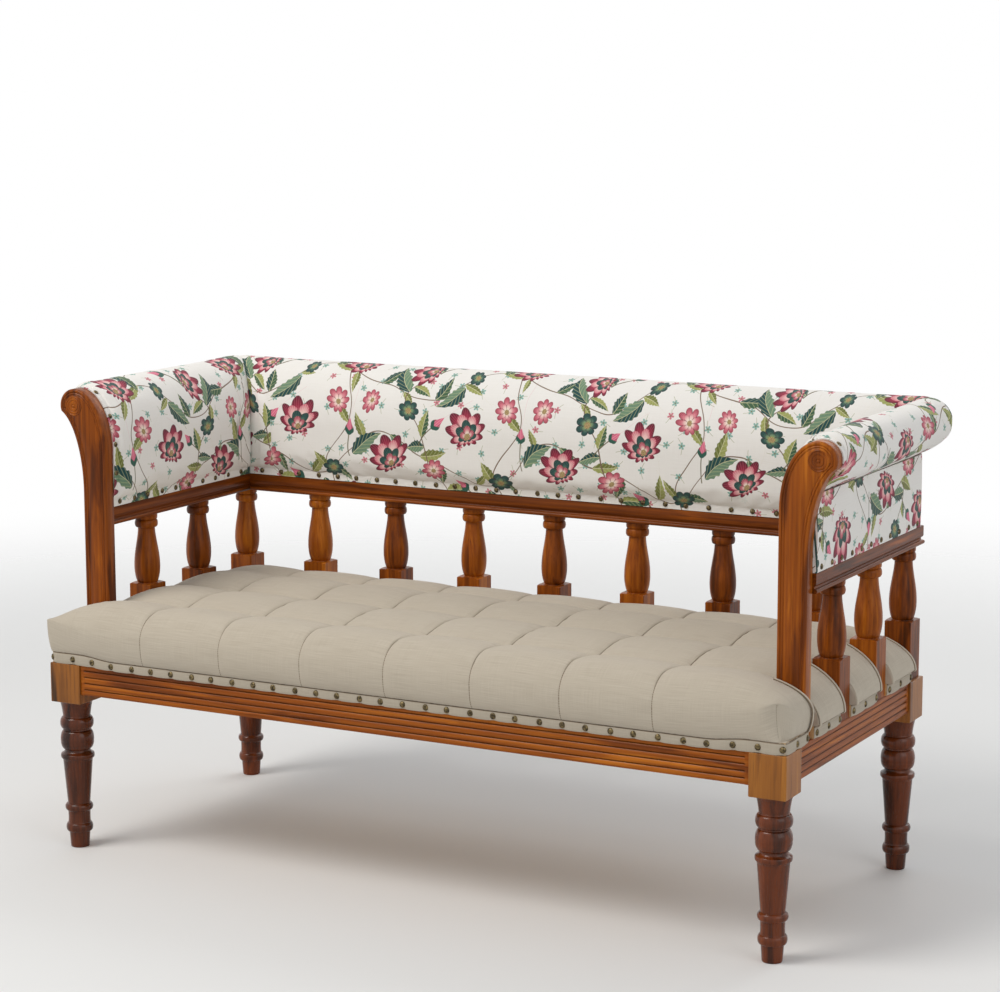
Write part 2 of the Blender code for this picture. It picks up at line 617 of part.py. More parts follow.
def baluster_mesh():
    """One baluster: tenon, square base, vase, bead, collar and dowel, from the bottom up."""
    top = MID_RAIL_BOTTOM - FIT
    foot = SEAT_FRAME_TOP + BASE_HEIGHT
    bead_top = top - BALUSTER_COLLAR
    vase_top = bead_top - BALUSTER_BEAD
    fullest = vase_top - (vase_top - foot) * VASE_LEVEL
    profile = [(0, top + TOP_DOWEL_LENGTH), (TOP_DOWEL_RADIUS, top + TOP_DOWEL_LENGTH)]
    profile += [(TOP_DOWEL_RADIUS, top), (COLLAR_DISC_RADIUS, top)]
    profile += [(COLLAR_DISC_RADIUS, bead_top + BALUSTER_COLLAR / 4), (GROOVE_RADIUS, bead_top)]
    profile += bead(bead_top, BALUSTER_BEAD, GROOVE_RADIUS, BEAD_RADIUS)[1:-1] + [(NECK_RADIUS, vase_top)]
    for k in (1, 2, 3):
        swell = math.sin(math.pi / 2 * k / 3) ** VASE_POWER
        radius = NECK_RADIUS + (VASE_RADIUS - NECK_RADIUS) * swell
        profile.append((radius, vase_top + (fullest - vase_top) * k / 3))
    waist = VASE_FOOT_RADIUS + (VASE_RADIUS - VASE_FOOT_RADIUS) * VASE_WAIST
    profile += [(waist, foot + (fullest - foot) * VASE_WAIST_LEVEL), (VASE_FOOT_RADIUS, foot)]
    profile += [(VASE_FOOT_RADIUS, foot - BASE_HEIGHT / 4), (0, foot - BASE_HEIGHT / 4)]
    work = bmesh.new()
    place = Matrix.Translation((0, 0, SEAT_FRAME_TOP + FIT + (BASE_HEIGHT - FIT) / 2))
    size = Matrix.Diagonal((BASE_SIDE, BASE_SIDE, BASE_HEIGHT - FIT, 1))
    bmesh.ops.create_cube(work, size=1, matrix=place @ size)
    upper = [edge for edge in work.edges if min(vert.co.z for vert in edge.verts) > foot - BASE_EASE]
    bmesh.ops.bevel(work, geom=upper, offset=BASE_EASE, segments=1, affect="EDGES")
    turned = spindles(profile, BALUSTER_SIDES, [(0, 0, 0)])
    stub = BASE_TENON_SIDE / 2
    tenon = boxes([((-stub, -stub, SEAT_FRAME_TOP - BASE_TENON_LENGTH),
                    (stub, stub, SEAT_FRAME_TOP + BASE_TENON_LENGTH))])
    base = combine(to_mesh(work), tenon, "UNION")
    return smooth(combine(base, turned, "UNION"))


def make_balusters():
    """Balusters of the back row, the two back corners and the arms."""
    mesh = baluster_mesh()
    for k, place in enumerate(BACK_PLACES[1:-1]):
        add_part(f"baluster_back_{k + 1}", mesh.copy(), RAIL_WOOD, (place, UPRIGHT_Y, 0))
    for name, side in SIDES.items():
        add_part("baluster_corner_" + name, mesh.copy(), RAIL_WOOD, (side * UPRIGHT_X, UPRIGHT_Y, 0))
        for k, place in enumerate(SIDE_PLACES):
            add_part(f"baluster_{name}_{k + 1}", mesh.copy(), RAIL_WOOD, (side * UPRIGHT_X, place, 0))


def mid_rail_section():
    """Half the moulding and its mirror: flat face, groove, and a half-round bead along the lower edge."""
    half = MID_RAIL_WIDTH / 2
    groove = half - MID_GROOVE
    bead_level = MID_RAIL_BOTTOM + MID_BEAD
    bow = [(half - MID_BEAD / 2 + MID_BEAD * math.cos(a), bead_level + MID_BEAD * math.sin(a))
           for a in (math.radians(step) for step in (-90, -45, 0, 45, 90))]
    flat = [(groove, bead_level + MID_GROOVE_LOW), (groove, bead_level + MID_GROOVE_HIGH),
            (half, bead_level + MID_LIP), (half, MID_RAIL_TOP)]
    outer = bow + flat
    return outer + [(-across, up) for across, up in reversed(outer)]


def mitre(across, up, side):
    """Point of a section on the mitre plane at a back corner."""
    return side * (UPRIGHT_X + across), UPRIGHT_Y + across, up


def make_mid_rails():
    """Moulded rails mitred at the back corners; the arm ones are tenoned into the posts."""
    section = mid_rail_section()
    depth = TOP_DOWEL_LENGTH + FIT
    bore = TOP_DOWEL_RADIUS + FIT
    hole = [(0, MID_RAIL_BOTTOM + depth), (bore, MID_RAIL_BOTTOM + depth),
            (bore, MID_RAIL_BOTTOM - depth), (0, MID_RAIL_BOTTOM - depth)]
    rings = []
    for side in SIDES.values():
        ring = [mitre(across, up, side) for across, up in section]
        rings.append([(x - side * FIT, y, up) for x, y, up in ring])
    places = [(place, UPRIGHT_Y, 0) for place in BACK_PLACES]
    drilled = spindles(hole, BALUSTER_SIDES, places)
    add_part("mid_rail_back", combine(loft(rings), drilled, "DIFFERENCE"), RAIL_WOOD)
    thin = MID_TENON_WIDTH / 2
    low = MID_RAIL_BOTTOM + MID_TENON_LOW
    high = MID_RAIL_BOTTOM + MID_TENON_HIGH
    for name, side in SIDES.items():
        front = [(side * (UPRIGHT_X + across), POST_BACK + FIT, up) for across, up in section]
        corner = [(x, y - FIT, up) for x, y, up in (mitre(across, up, side) for across, up in section)]
        middle = side * (UPRIGHT_X - (POST_INNER - POST_OUTER) / 2)
        tenon = boxes([((middle - thin, POST_BACK - MID_TENON, low),
                        (middle + thin, POST_BACK + MID_TENON, high))])
        rail = combine(loft([front, corner]), tenon, "UNION")
        places = [(side * UPRIGHT_X, place, 0) for place in SIDE_PLACES + [UPRIGHT_Y]]
        rail = combine(rail, spindles(hole, BALUSTER_SIDES, places), "DIFFERENCE")
        add_part("mid_rail_" + name, rail, RAIL_WOOD)
    return low, high, thin


def scroll(inner, outer, radius, end):
    """Scroll from its inner foot over the roll to its outer neck, as offset outward and height.

    The inner face leaves the upright as a quarter of an ellipse up to the crest of the roll; the
    roll is an arc down to the end angle; the outer face is an ellipse from there to the neck.
    """
    spring = MID_RAIL_TOP + SPRING_RISE
    crest = ROLL_LEVEL + radius
    line = []
    for k in range(ROLL_STEPS):
        angle = math.pi / 2 * k / ROLL_STEPS
        across = SCROLL_OUT - (SCROLL_OUT + inner) * math.cos(angle)
        line.append((across, spring + (crest - spring) * math.sin(angle)))
    for k in range(ROLL_STEPS + 1):
        angle = math.pi / 2 + (end - math.pi / 2) * k / ROLL_STEPS
        line.append((SCROLL_OUT + radius * math.cos(angle), ROLL_LEVEL + radius * math.sin(angle)))
    neck = MID_RAIL_TOP + NECK_RISE
    far, level = line[-1]
    width = (far - outer) / (1 - math.cos(ROLL_SWEEP))
    height = (level - neck) / math.sin(ROLL_SWEEP)
    for k in range(1, ROLL_STEPS + 1):
        angle = ROLL_SWEEP * (1 - k / ROLL_STEPS)
        line.append((outer + width * (1 - math.cos(angle)), neck + height * math.sin(angle)))
    return line


def make_posts(tenon_low, tenon_high, tenon_half):
    """Sawn arm posts with a stub tenon below, a mortise behind and a turned roundel in the scroll."""
    line = scroll(POST_INNER, POST_OUTER, POST_RADIUS, WOOD_ROLL_END)
    foot = SEAT_FRAME_TOP + FIT
    outline = [(-POST_INNER, foot)] + line + [(POST_OUTER, foot)]
    stand = Matrix.Translation((0, (POST_FRONT + POST_BACK) / 2, 0)) @ Matrix.Rotation(math.pi / 2, 4, "X")
    ring = [(ROUNDEL_RADIUS, ROUNDEL_DEPTH), (ROUNDEL_RADIUS - ROUNDEL_WIDTH / 2, -ROUNDEL_DEPTH),
            (ROUNDEL_RADIUS - ROUNDEL_WIDTH, ROUNDEL_DEPTH)]
    post_depth = POST_BACK - MID_TENON - FIT
    for name, side in SIDES.items():
        mirrored = [(side * (UPRIGHT_X + across), up) for across, up in outline]
        post = plate(mirrored, POST_THICKNESS)
        post.transform(stand)
        ends = sorted((side * (UPRIGHT_X - POST_INNER + POST_TENON_INSET),
                       side * (UPRIGHT_X + POST_OUTER - POST_TENON_INSET)))
        stub = boxes([((ends[0], POST_FRONT + POST_CHEEK, SEAT_FRAME_TOP - POST_TENON_LENGTH),
                       (ends[1], POST_BACK - POST_CHEEK, SEAT_FRAME_TOP + POST_TENON_LENGTH))])
        post = combine(post, stub, "UNION")
        middle = side * (UPRIGHT_X - (POST_INNER - POST_OUTER) / 2)
        half = tenon_half + FIT
        mortise = boxes([((middle - half, post_depth, tenon_low - FIT),
                          (middle + half, POST_BACK + POST_THICKNESS, tenon_high + FIT))])
        post = combine(post, mortise, "DIFFERENCE")
        groove = spindles(ring + ring[:1], LEG_SIDES, [(0, 0, 0)])
        face = Matrix.Translation((side * (UPRIGHT_X + SCROLL_OUT), POST_FRONT, ROLL_LEVEL))
        groove.transform(face @ Matrix.Rotation(math.pi / 2, 4, "X"))
        add_part("arm_post_" + name, combine(post, groove, "DIFFERENCE"), RAIL_WOOD)


def core_section():
    """Outline of the wooden frame inside an arm or the back."""
    line = scroll(CORE_INNER, CORE_OUTER, CORE_RADIUS, WOOD_ROLL_END)
    return [(-CORE_INNER, PADDING_BOTTOM)] + line + [(CORE_OUTER, PADDING_BOTTOM)]


def core_face():
    """The face of the frame with room for the padding, from its inner foot over the roll to its neck."""
    return scroll(CORE_INNER + SOFT_FIT, CORE_OUTER + SOFT_FIT, CORE_RADIUS + SOFT_FIT, WOOD_ROLL_END)


def pad_section(swell):
    """Outline of the rolled padding: out along its face, over the roll to the fold, back along the frame."""
    face = PAD_INNER + swell
    roll = scroll(face, PANEL_OUTER, PAD_RADIUS, PAD_ROLL_END)
    over = roll[:2 * ROLL_STEPS + 1]
    half = MID_RAIL_WIDTH / 2
    bow = -half - (face - half) * TUCK_SHARE
    tuck = [(-half, PADDING_BOTTOM), (bow, PADDING_BOTTOM + PAD_TUCK * TUCK_LEVEL),
            (-face, PADDING_BOTTOM + PAD_TUCK)]
    fold = [(PANEL_OUTER, FOLD_LEVEL + FOLD_GAP)]
    frame = core_face()
    below = [point for point in frame[2 * ROLL_STEPS:] if point[1] > FOLD_LEVEL + FOLD_GAP]
    behind = frame[:2 * ROLL_STEPS] + below
    return tuck + over + fold + behind[::-1] + [(-CORE_INNER - SOFT_FIT, PADDING_BOTTOM)]


def panel_section():
    """Outline of the flat outside panel, from the mid rail to the fold under the roll."""
    behind = [point for point in core_face()[2 * ROLL_STEPS + 1:] if point[1] < FOLD_LEVEL - FOLD_GAP]
    foot = [(CORE_OUTER + SOFT_FIT, PADDING_BOTTOM), (PANEL_OUTER, PADDING_BOTTOM)]
    return foot + [(PANEL_OUTER, FOLD_LEVEL)] + behind


def corner_point(across, up, turn):
    """Point of a section swung by turn round a back corner, in the frame of the right arm.

    Outside the pivot it runs on an arc; inside the pivot it closes up towards the mitre.
    """
    reach = across - CORNER_PIVOT
    centre_x = UPRIGHT_X + CORNER_PIVOT
    centre_y = UPRIGHT_Y + CORNER_PIVOT
    if reach >= 0:
        return centre_x + reach * math.cos(turn), centre_y + reach * math.sin(turn), up
    spread = (reach - CORNER_PIVOT) * (1 - turn / (math.pi / 4))
    return centre_x + reach, centre_y + reach + spread, up


def corner_turns():
    """Angles of the sections round a corner, up to the mitre."""
    return [math.pi / 4 * k / CORNER_STEPS for k in range(CORNER_STEPS + 1)]


def arm_rings(sections, side):
    """Rings of an arm from the post to the mitre; sections gives the outline at a share of the length."""
    start = POST_BACK + FIT
    finish_y = UPRIGHT_Y - PAD_INNER * 2
    rings = []
    for share in (0, PAD_NEAR, 0.5, PAD_FAR):
        y = start + (finish_y - start) * share
        rings.append([(side * (UPRIGHT_X + across), y, up) for across, up in sections(share)])
    for turn in corner_turns():
        swung = [corner_point(across, up, turn) for across, up in sections(1)]
        rings.append([(side * x, y - FIT, up) for x, y, up in swung])
    return rings


def back_rings(sections):
    """Rings of the back from one mitre to the other."""
    right = []
    for turn in reversed(corner_turns()):
        swung = [corner_point(across, up, turn) for across, up in sections(1)]
        ring = [(UPRIGHT_X + y - UPRIGHT_Y - FIT, UPRIGHT_Y + x - UPRIGHT_X, up) for x, y, up in swung]
        right.append(ring)
    reach = UPRIGHT_X - PAD_INNER * 2
    middle = []
    for share in (PAD_FAR, 0.5, 0, 0.5, PAD_FAR):
        x = reach * share * (-1 if len(middle) > 2 else 1)
        middle.append([(x, UPRIGHT_Y + across, up) for across, up in sections(share)])
    left = [[(-x, y, up) for x, y, up in ring] for ring in reversed(right)]
    return right + middle + left


def make_padding():
    """Frame, rolled padding and outside panel of each arm and of the back."""
    def crowned(share):
        return pad_section(PAD_SWELL * (1 - abs(2 * share - 1)) if share < 1 else 0)

    def crowned_back(share):
        return pad_section(PAD_SWELL * (1 - share))

    def core(share):
        return core_section()

    def panel(share):
        return panel_section()

    for name, side in SIDES.items():
        add_part("arm_frame_" + name, loft(arm_rings(core, side)), PLAIN_WOOD)
        add_part("arm_pad_" + name, smooth(loft(arm_rings(crowned, side))), FLORAL_CLOTH)
        add_part("arm_panel_" + name, loft(arm_rings(panel, side)), FLORAL_CLOTH)
    add_part("back_frame", loft(back_rings(core)), PLAIN_WOOD)
    add_part("back_pad", smooth(loft(back_rings(crowned_back))), FLORAL_CLOTH)
    add_part("back_panel", loft(back_rings(panel)), FLORAL_CLOTH)


make_legs()
make_seat_rails()
make_bearer_and_braces()
make_board()
make_bands()
make_cushion()
make_balusters()
make_posts(*make_mid_rails())
make_padding()
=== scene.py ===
"""The dressed bench: turned and reeded wood, a tufted linen seat, and floral covers on the back and arms.

Metres, +Z up. Shapes are worked out about the centre of the four legs, with -Y to the front, and moved by
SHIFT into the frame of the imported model. "Across" is the distance outward from the line of the uprights.
"""
import math

import bmesh
import bpy
import numpy as np
from mathutils import Matrix


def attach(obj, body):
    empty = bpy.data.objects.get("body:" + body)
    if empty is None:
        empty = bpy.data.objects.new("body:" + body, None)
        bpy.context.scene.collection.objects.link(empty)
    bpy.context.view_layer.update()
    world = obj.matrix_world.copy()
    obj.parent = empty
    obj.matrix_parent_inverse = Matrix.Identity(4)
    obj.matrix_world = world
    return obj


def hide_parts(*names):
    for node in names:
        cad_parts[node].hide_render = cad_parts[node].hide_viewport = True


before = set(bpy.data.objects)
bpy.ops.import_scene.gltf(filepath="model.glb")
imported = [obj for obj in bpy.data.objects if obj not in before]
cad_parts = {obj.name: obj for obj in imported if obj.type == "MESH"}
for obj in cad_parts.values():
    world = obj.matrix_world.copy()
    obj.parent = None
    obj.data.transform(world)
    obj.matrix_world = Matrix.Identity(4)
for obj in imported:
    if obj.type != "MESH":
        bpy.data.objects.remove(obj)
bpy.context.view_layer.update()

SHIFT = np.array([0, -0.0185, 0])
WELD = 1e-6
FIT = 0.0003                  # gap between wooden pieces
SIDES = {"left": -1, "right": 1}

# Seat frame
BLOCK_HALF = 0.032
BLOCK_LOW = 0.272
FRAME_TOP = 0.344
LEG_X, LEG_Y = 0.678, 0.2815
RAIL_LOW = 0.290
RAIL_X, RAIL_Y = 0.706, 0.3095
RAIL_THICK = 0.056
RAIL_SPAN_X, RAIL_SPAN_Y = 1.292, 0.499
REED_MIDDLE, REED_PITCH = 0.317, 0.0113
REED_DEPTH = 0.0024
REED_STOP = 0.005

# Uprights and the moulded rail on them
UP_X, UP_Y = 0.680, 0.2835
BACK_PLACES = np.linspace(-UP_X, UP_X, 9)
SIDE_PLACES = np.array([0.1155, -0.0525])
BASE_HALF = 0.024
BASE_TOP = 0.448
MID_LOW, MID_TOP = 0.579, 0.612
MID_HALF = 0.026
MID_BEAD = 0.0038
POST_FRONT, POST_BACK = -0.216, -0.191
POST_INNER, POST_OUTER, POST_RADIUS = 0.030, 0.020, 0.031

# Scroll of the arms and the back
SPRING, NECK, ROLL = 0.715, 0.640, 0.795
ROLL_OUT = 0.036
SWEEP = math.radians(75)
WOOD_END, PAD_END = math.radians(-20), math.radians(-55)
COVER_LOW = 0.6124
PAD_FACE, PAD_SWELL, PAD_RADIUS = 0.0395, 0.003, 0.0405
PAD_STRIP = 0.0274            # nailed lower edge of a cover, inside the line
PANEL_OUT = 0.0256
PANEL_FACE = PANEL_OUT + 0.0004
FOLD, FOLD_GAP = 0.740, 0.0015   # fold between a rolled cover and its panel, and half the gap there
CORE_GAP = 0.0009
CORE_INNER, CORE_OUTER, CORE_RADIUS = 0.010, 0.004, 0.016   # wooden frame inside the covers
PIVOT = 0.004
EDGE_FACE, EDGE_RADIUS = POST_INNER + 0.0016, POST_RADIUS + 0.0014   # section of a cover at the post
MARGIN, POST_MARGIN = 0.0135, 0.012   # flat nailed edge of a cover, at the mid rail and at the post
NAIL_LEVEL = COVER_LOW + 0.0078
STRAIGHT_END = 0.080          # straight part of a cover stops this far before the corner

# Seat: the fullest line of the cushion, how far it rolls down from the crown, and the grid of seams
SEAT_LOW = 0.3648
SEAT_X, SEAT_FRONT, SEAT_BACK = 0.716, -0.3235, 0.3165
EDGE, FRONT_EDGE, TIP_RISE = 0.003, 0.030, 0.030
TIP_PULL_LEFT, TIP_PULL_RIGHT, TIP_PULL_Y = 0.003, 0.014, 0.0065
CORNER_LEFT, CORNER_RIGHT = 0.004, 0.048   # plan radius of the front corners
CORNER_FOOT = 0.4             # the same at the foot of the skirt, as a share
SEAT_DIP = 0.0699             # level of the seams
PUFF_X, PUFF_Y = 0.0064, 0.0120   # rise between the seams each way
SHOULDER_X, SHOULDER_FRONT, SHOULDER_BACK = 0.135, 0.058, 0.200
TUFT_X, TUFT_Y = 0.165, 0.164
SEAMS_X = TUFT_X * np.arange(-3, 4) - 0.012
SEAMS_Y = TUFT_Y * np.arange(-1, 2) - 0.018
SOFT_FIT = 0.0008             # gap between cloth and wood
STITCH = 0.0011               # half width of a stitched line
HEM_IN = 0.0042               # middle of a folded hem, from the notch
HEM_WIDE, HEM_TALL = 0.0036, 0.0017
HEM_LINE = 0.0085             # stitched line of a hem, from the notch
SKIRT_OUT = 0.0022            # foot of the skirt, out over the band
SKIRT_RINGS = 10
BAND_LOW, BAND_TOP = 0.3446, 0.3640
BAND_SAG = 0.0068             # the front band hangs lower between the blocks
BAND_THICK = 0.0036
BAND_SHADE = 0.2                # painted shade on the nailed band, which lies under the overhang of the seat
NAIL_PITCH = 0.0425
SEAT_NAIL, COVER_NAIL = 0.0057, 0.0050

# Cloth
PRINT_LONG, PRINT_TALL = 0.365, 0.305   # one repeat of the print, along and up the cloth
CLOTH_STEPS = 20
SEAT_PRESSURE, SEAT_SLACK, SEAT_MOVE = 4.0, 0.006, 0.0016
PAD_PRESSURE, PAD_SLACK, PAD_MOVE = 4.0, 0.008, 0.0025


# Meshes

def lattice(rows, columns, closed=False):
    """Quads of a grid of points, row after row; closed joins the last column to the first."""
    row = np.arange(rows - 1)[:, None] * columns
    column = np.arange(columns if closed else columns - 1)[None, :]
    after = (column + 1) % columns
    quads = np.stack([row + column, row + after, row + columns + after, row + columns + column], -1)
    return quads.reshape(-1, 4)


def piece(name, points, faces, material, slot, stands_for=(), rims=(),
          flat=None, seed=0.0, crease=40, marks=None):
    """One finished object: welds the surface, turns it outward, and gives it its finish and its body.

    points is any array of triples, faces are quads, and rims are loops of points closed by one face each.
    flat holds the metres along and up the cloth for each point, seed shifts the grain of each piece, and
    marks are further values of the points, by name.
    """
    mesh = bpy.data.meshes.new(name)
    rims = [np.asarray(rim) for rim in rims]
    every = faces.tolist() + [rim.tolist() for rim in rims]
    mesh.from_pydata((points.reshape(-1, 3) + SHIFT).tolist(), [], every)
    if flat is not None:
        corners = np.concatenate([faces.ravel()] + rims)
        layer = mesh.uv_layers.new(name="cloth")
        layer.data.foreach_set("uv", flat.reshape(-1, 2)[corners].astype(np.float32).ravel())
    for key, values in {"seed": np.full(points.size // 3, seed), **(marks or {})}.items():
        layer = mesh.attributes.new(key, "FLOAT", "POINT")
        layer.data.foreach_set("value", values.ravel().astype(np.float32))
    work = bmesh.new()
    work.from_mesh(mesh)
    bmesh.ops.remove_doubles(work, verts=work.verts, dist=WELD)
    bmesh.ops.recalc_face_normals(work, faces=work.faces)
    work.to_mesh(mesh)
    work.free()
    mesh.polygons.foreach_set("use_smooth", np.ones(len(mesh.polygons), bool))
    mesh.set_sharp_from_angle(angle=math.radians(crease))
    mesh.materials.append(material)
    made = bpy.data.objects.new(name, mesh)
    bpy.context.scene.collection.objects.link(made)
    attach(made, "root")
    if stands_for:
        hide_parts(*stands_for)
    return made


def tube(name, points, material, slot, stands_for, capped=True, **more):
    """A piece made of rings of points, joined round each ring and, if capped, closed at both ends."""
    rows, columns = points.shape[:2]
    rims = ends(rows, columns) if capped else ()
    return piece(name, points, lattice(rows, columns, True), material, slot, stands_for, rims, **more)


def settle(made, pressure, slack, cap):
    """Lets the cloth of a padded piece swell: pinned where its mark says, blown out by a little pressure.

    The cloth is cut larger than its shape by slack, and no point ends further than cap from its start.
    """
    mesh, scene = made.data, bpy.context.scene
    count = len(mesh.vertices)
    pin, start, end = (np.empty(count * size, np.float32) for size in (1, 3, 3))
    mesh.attributes["pin"].data.foreach_get("value", pin)
    mesh.vertices.foreach_get("co", start)
    group = made.vertex_groups.new(name="pin")
    group.add(np.flatnonzero(pin > 0.5).tolist(), 1.0, "REPLACE")
    cloth = made.modifiers.new("Cloth", "CLOTH")
    given = cloth.settings
    given.quality, given.mass, given.vertex_group_mass = 3, 0.3, "pin"
    given.tension_stiffness = given.compression_stiffness = 12
    given.shear_stiffness, given.bending_stiffness = 4, 0.4
    given.use_pressure, given.uniform_pressure_force = True, pressure
    given.shrink_min = given.shrink_max = -slack
    given.effector_weights.gravity = 0
    cloth.collision_settings.use_collision = False
    cloth.point_cache.frame_start, cloth.point_cache.frame_end = 1, CLOTH_STEPS
    for step in range(1, CLOTH_STEPS + 1):
        scene.frame_set(step)
    swollen = made.evaluated_get(bpy.context.evaluated_depsgraph_get())
    swollen.data.vertices.foreach_get("co", end)
    made.modifiers.remove(cloth)
    made.vertex_groups.clear()
    scene.frame_set(1)
    moved = (end - start).reshape(-1, 3)
    far = np.linalg.norm(moved, axis=1, keepdims=True) + 1e-9
    moved *= cap * np.tanh(far / cap) / far
    mesh.vertices.foreach_set("co", (start.reshape(-1, 3) + moved).ravel())
    mesh.update()


def ends(rows, columns):
    """The first and the last ring of a closed grid, to be closed by a face each."""
    return np.arange(columns), (rows - 1) * columns + np.arange(columns)


def stack(*parts):
    """Broadcasts x, y and z and stacks them as triples."""
    return np.stack(np.broadcast_arrays(*parts), -1)


def ease(value, low, high):
    """Nought below low, one above high, and smooth between."""
    share = np.clip((value - low) / (high - low), 0, 1)
    return share * share * (3 - 2 * share)


def round_over(inside, width):
    """A quarter round: nought at the edge, one at width inside it."""
    share = np.clip(inside / width, 0, 1)
    return np.sqrt(1 - (1 - share) ** 2)


def graded(marks, step):
    """Places from the first mark to the last with every mark among them, at most step apart."""
    marks = np.unique(np.round(marks, 6))
    counts = np.maximum(1, np.ceil(np.diff(marks) / step)).astype(int)
    runs = [np.linspace(a, b, n, endpoint=False) for a, b, n in zip(marks, marks[1:], counts)]
    return np.concatenate(runs + [marks[-1:]])


def bell(value, width):
    """One at nought, falling away smoothly on both sides over about width."""
    return np.exp(-(value / width) ** 2)


def running(steps):
    """Running total of the steps down the first axis, from nought."""
    return np.concatenate([np.zeros_like(steps[:1]), np.cumsum(steps, 0)])


def nearest(value, places):
    """Distance from each value to the nearest of the places."""
    return np.abs(value[..., None] - places).min(-1)


# Shaders

class Value:
    """A socket in a shader. Operators add Math nodes, and node() adds any other node to the same tree."""

    def __init__(self, tree, socket=None):
        self.tree, self.socket = tree, socket

    def node(self, kind, settings=None, inputs=None, out=0):
        """Adds a node: its settings, then values or links of its sockets; returns one output or several."""
        made = self.tree.nodes.new(kind)
        for key, setting in (settings or {}).items():
            if key == "stops":
                stops = made.color_ramp.elements
                stops[0].position, stops[1].position = setting[0][0], setting[-1][0]
                for place, _ in setting[1:-1]:
                    stops.new(place)
                for stop, (_, colour) in zip(stops, setting):
                    stop.color = colour
            else:
                setattr(made, key, setting)
        for key, given in (inputs or {}).items():
            if isinstance(given, Value):
                self.tree.links.new(given.socket, made.inputs[key])
            else:
                made.inputs[key].default_value = given
        if isinstance(out, tuple):
            return [Value(self.tree, made.outputs[key]) for key in out]
        return Value(self.tree, made.outputs[out])

    def math(self, operation, *others):
        return self.node("ShaderNodeMath", {"operation": operation}, dict(enumerate((self, *others))))

    def __add__(self, other):
        return self.math("ADD", other)

    def __sub__(self, other):
        return self.math("SUBTRACT", other)

    def __rsub__(self, other):
        return self.node("ShaderNodeMath", {"operation": "SUBTRACT"}, {0: other, 1: self})

    def __mul__(self, other):
        return self.math("MULTIPLY", other)

    def __truediv__(self, other):
        return self.math("DIVIDE", other)

    def __pow__(self, other):
        return self.math("POWER", other)

    def __abs__(self):
        return self.math("ABSOLUTE")

    def __neg__(self):
        return self.math("MULTIPLY", -1.0)

    __radd__, __rmul__ = __add__, __mul__


def paint(red, green, blue):
    """A colour from screen values of 0 to 255, as the light that the shader works in."""
    screen = np.array([red, green, blue]) / 255
    light = np.where(screen <= 0.04045, screen / 12.92, ((screen + 0.055) / 1.055) ** 2.4)
    return (*light.tolist(), 1.0)


def finish(name, draw, **fixed):
    """A material: draw(base) returns what varies over the surface, and fixed holds what doesn't."""
    material = bpy.data.materials.new(name)
    material.use_nodes = True
    tree = material.node_tree
    shader = tree.nodes["Principled BSDF"]
    for key, given in draw(Value(tree)).items():
        tree.links.new(given.socket, shader.inputs[key])
    for key, given in fixed.items():
        shader.inputs[key.replace("_", " ")].default_value = given
    return material


def mix(share, under, over):
    """Colour under with colour over laid on it by share."""
    base = next(v for v in (share, under, over) if isinstance(v, Value))
    return base.node("ShaderNodeMix", {"data_type": "RGBA"}, {0: share, 6: under, 7: over}, 2)


def ramp(tone, *stops):
    """Colour by tone, from stops of a place and a colour."""
    return tone.node("ShaderNodeValToRGB", {"stops": stops}, {0: tone})


def attribute(base, name):
    return base.node("ShaderNodeAttribute", {"attribute_name": name}, out="Fac")


def split(place, *axes):
    """Coordinates of a place: one value for one axis, or a list of them."""
    return place.node("ShaderNodeSeparateXYZ", {}, {0: place}, axes if len(axes) > 1 else axes[0])


def rise(value, low, high):
    """Nought below low, one above high, smooth between."""
    smooth = {"interpolation_type": "SMOOTHSTEP"}
    return value.node("ShaderNodeMapRange", smooth, {0: value, 1: low, 2: high})


def inside(distance, blur=0.0003):
    """One where a signed distance is below nought, with an edge as soft as ink on cloth."""
    return 1 - rise(distance, -blur, blur)


def noise(place, scale, detail=2.0, distortion=0.0, out="Fac"):
    inputs = {"Vector": place, "Scale": scale, "Detail": detail, "Distortion": distortion}
    return place.node("ShaderNodeTexNoise", {}, inputs, out)


def vector(operation, first, second):
    base = first if isinstance(first, Value) else second
    return base.node("ShaderNodeVectorMath", {"operation": operation}, {0: first, 1: second})


def bump(height, strength, distance):
    inputs = {"Strength": strength, "Distance": distance, "Height": height}
    return height.node("ShaderNodeBump", {}, inputs)


def grain(base, along):
    """Grain shared by the woods, drawn out along one axis.

    Returns the place and the piece's seed, then broad streaks, the bands in them, slow changes of tone, fine
    lines and dark pores.
    """
    place = base.node("ShaderNodeTexCoord", out="Object")
    seed = attribute(base, "seed")
    offset = base.node("ShaderNodeCombineXYZ", {}, {0: seed * 3.1, 1: seed * 1.7, 2: seed * 2.3})
    moved = vector("ADD", place, offset)
    long, fine = [1.0, 1.0, 1.0], [1.0, 1.0, 1.0]
    long[along], fine[along] = 0.10, 0.025
    drawn = vector("MULTIPLY", moved, tuple(long))
    thin = vector("MULTIPLY", moved, tuple(fine))
    streaks = noise(drawn, 34, 5, 0.5)
    bands = (streaks * 30).math("SINE") * 0.5 + 0.5
    slow = noise(drawn, 9, 2)
    pores = rise(noise(thin, 620, 3), 0.56, 0.74)
    lines = noise(thin, 170, 3)
    return place, seed, streaks, bands, slow, lines, pores


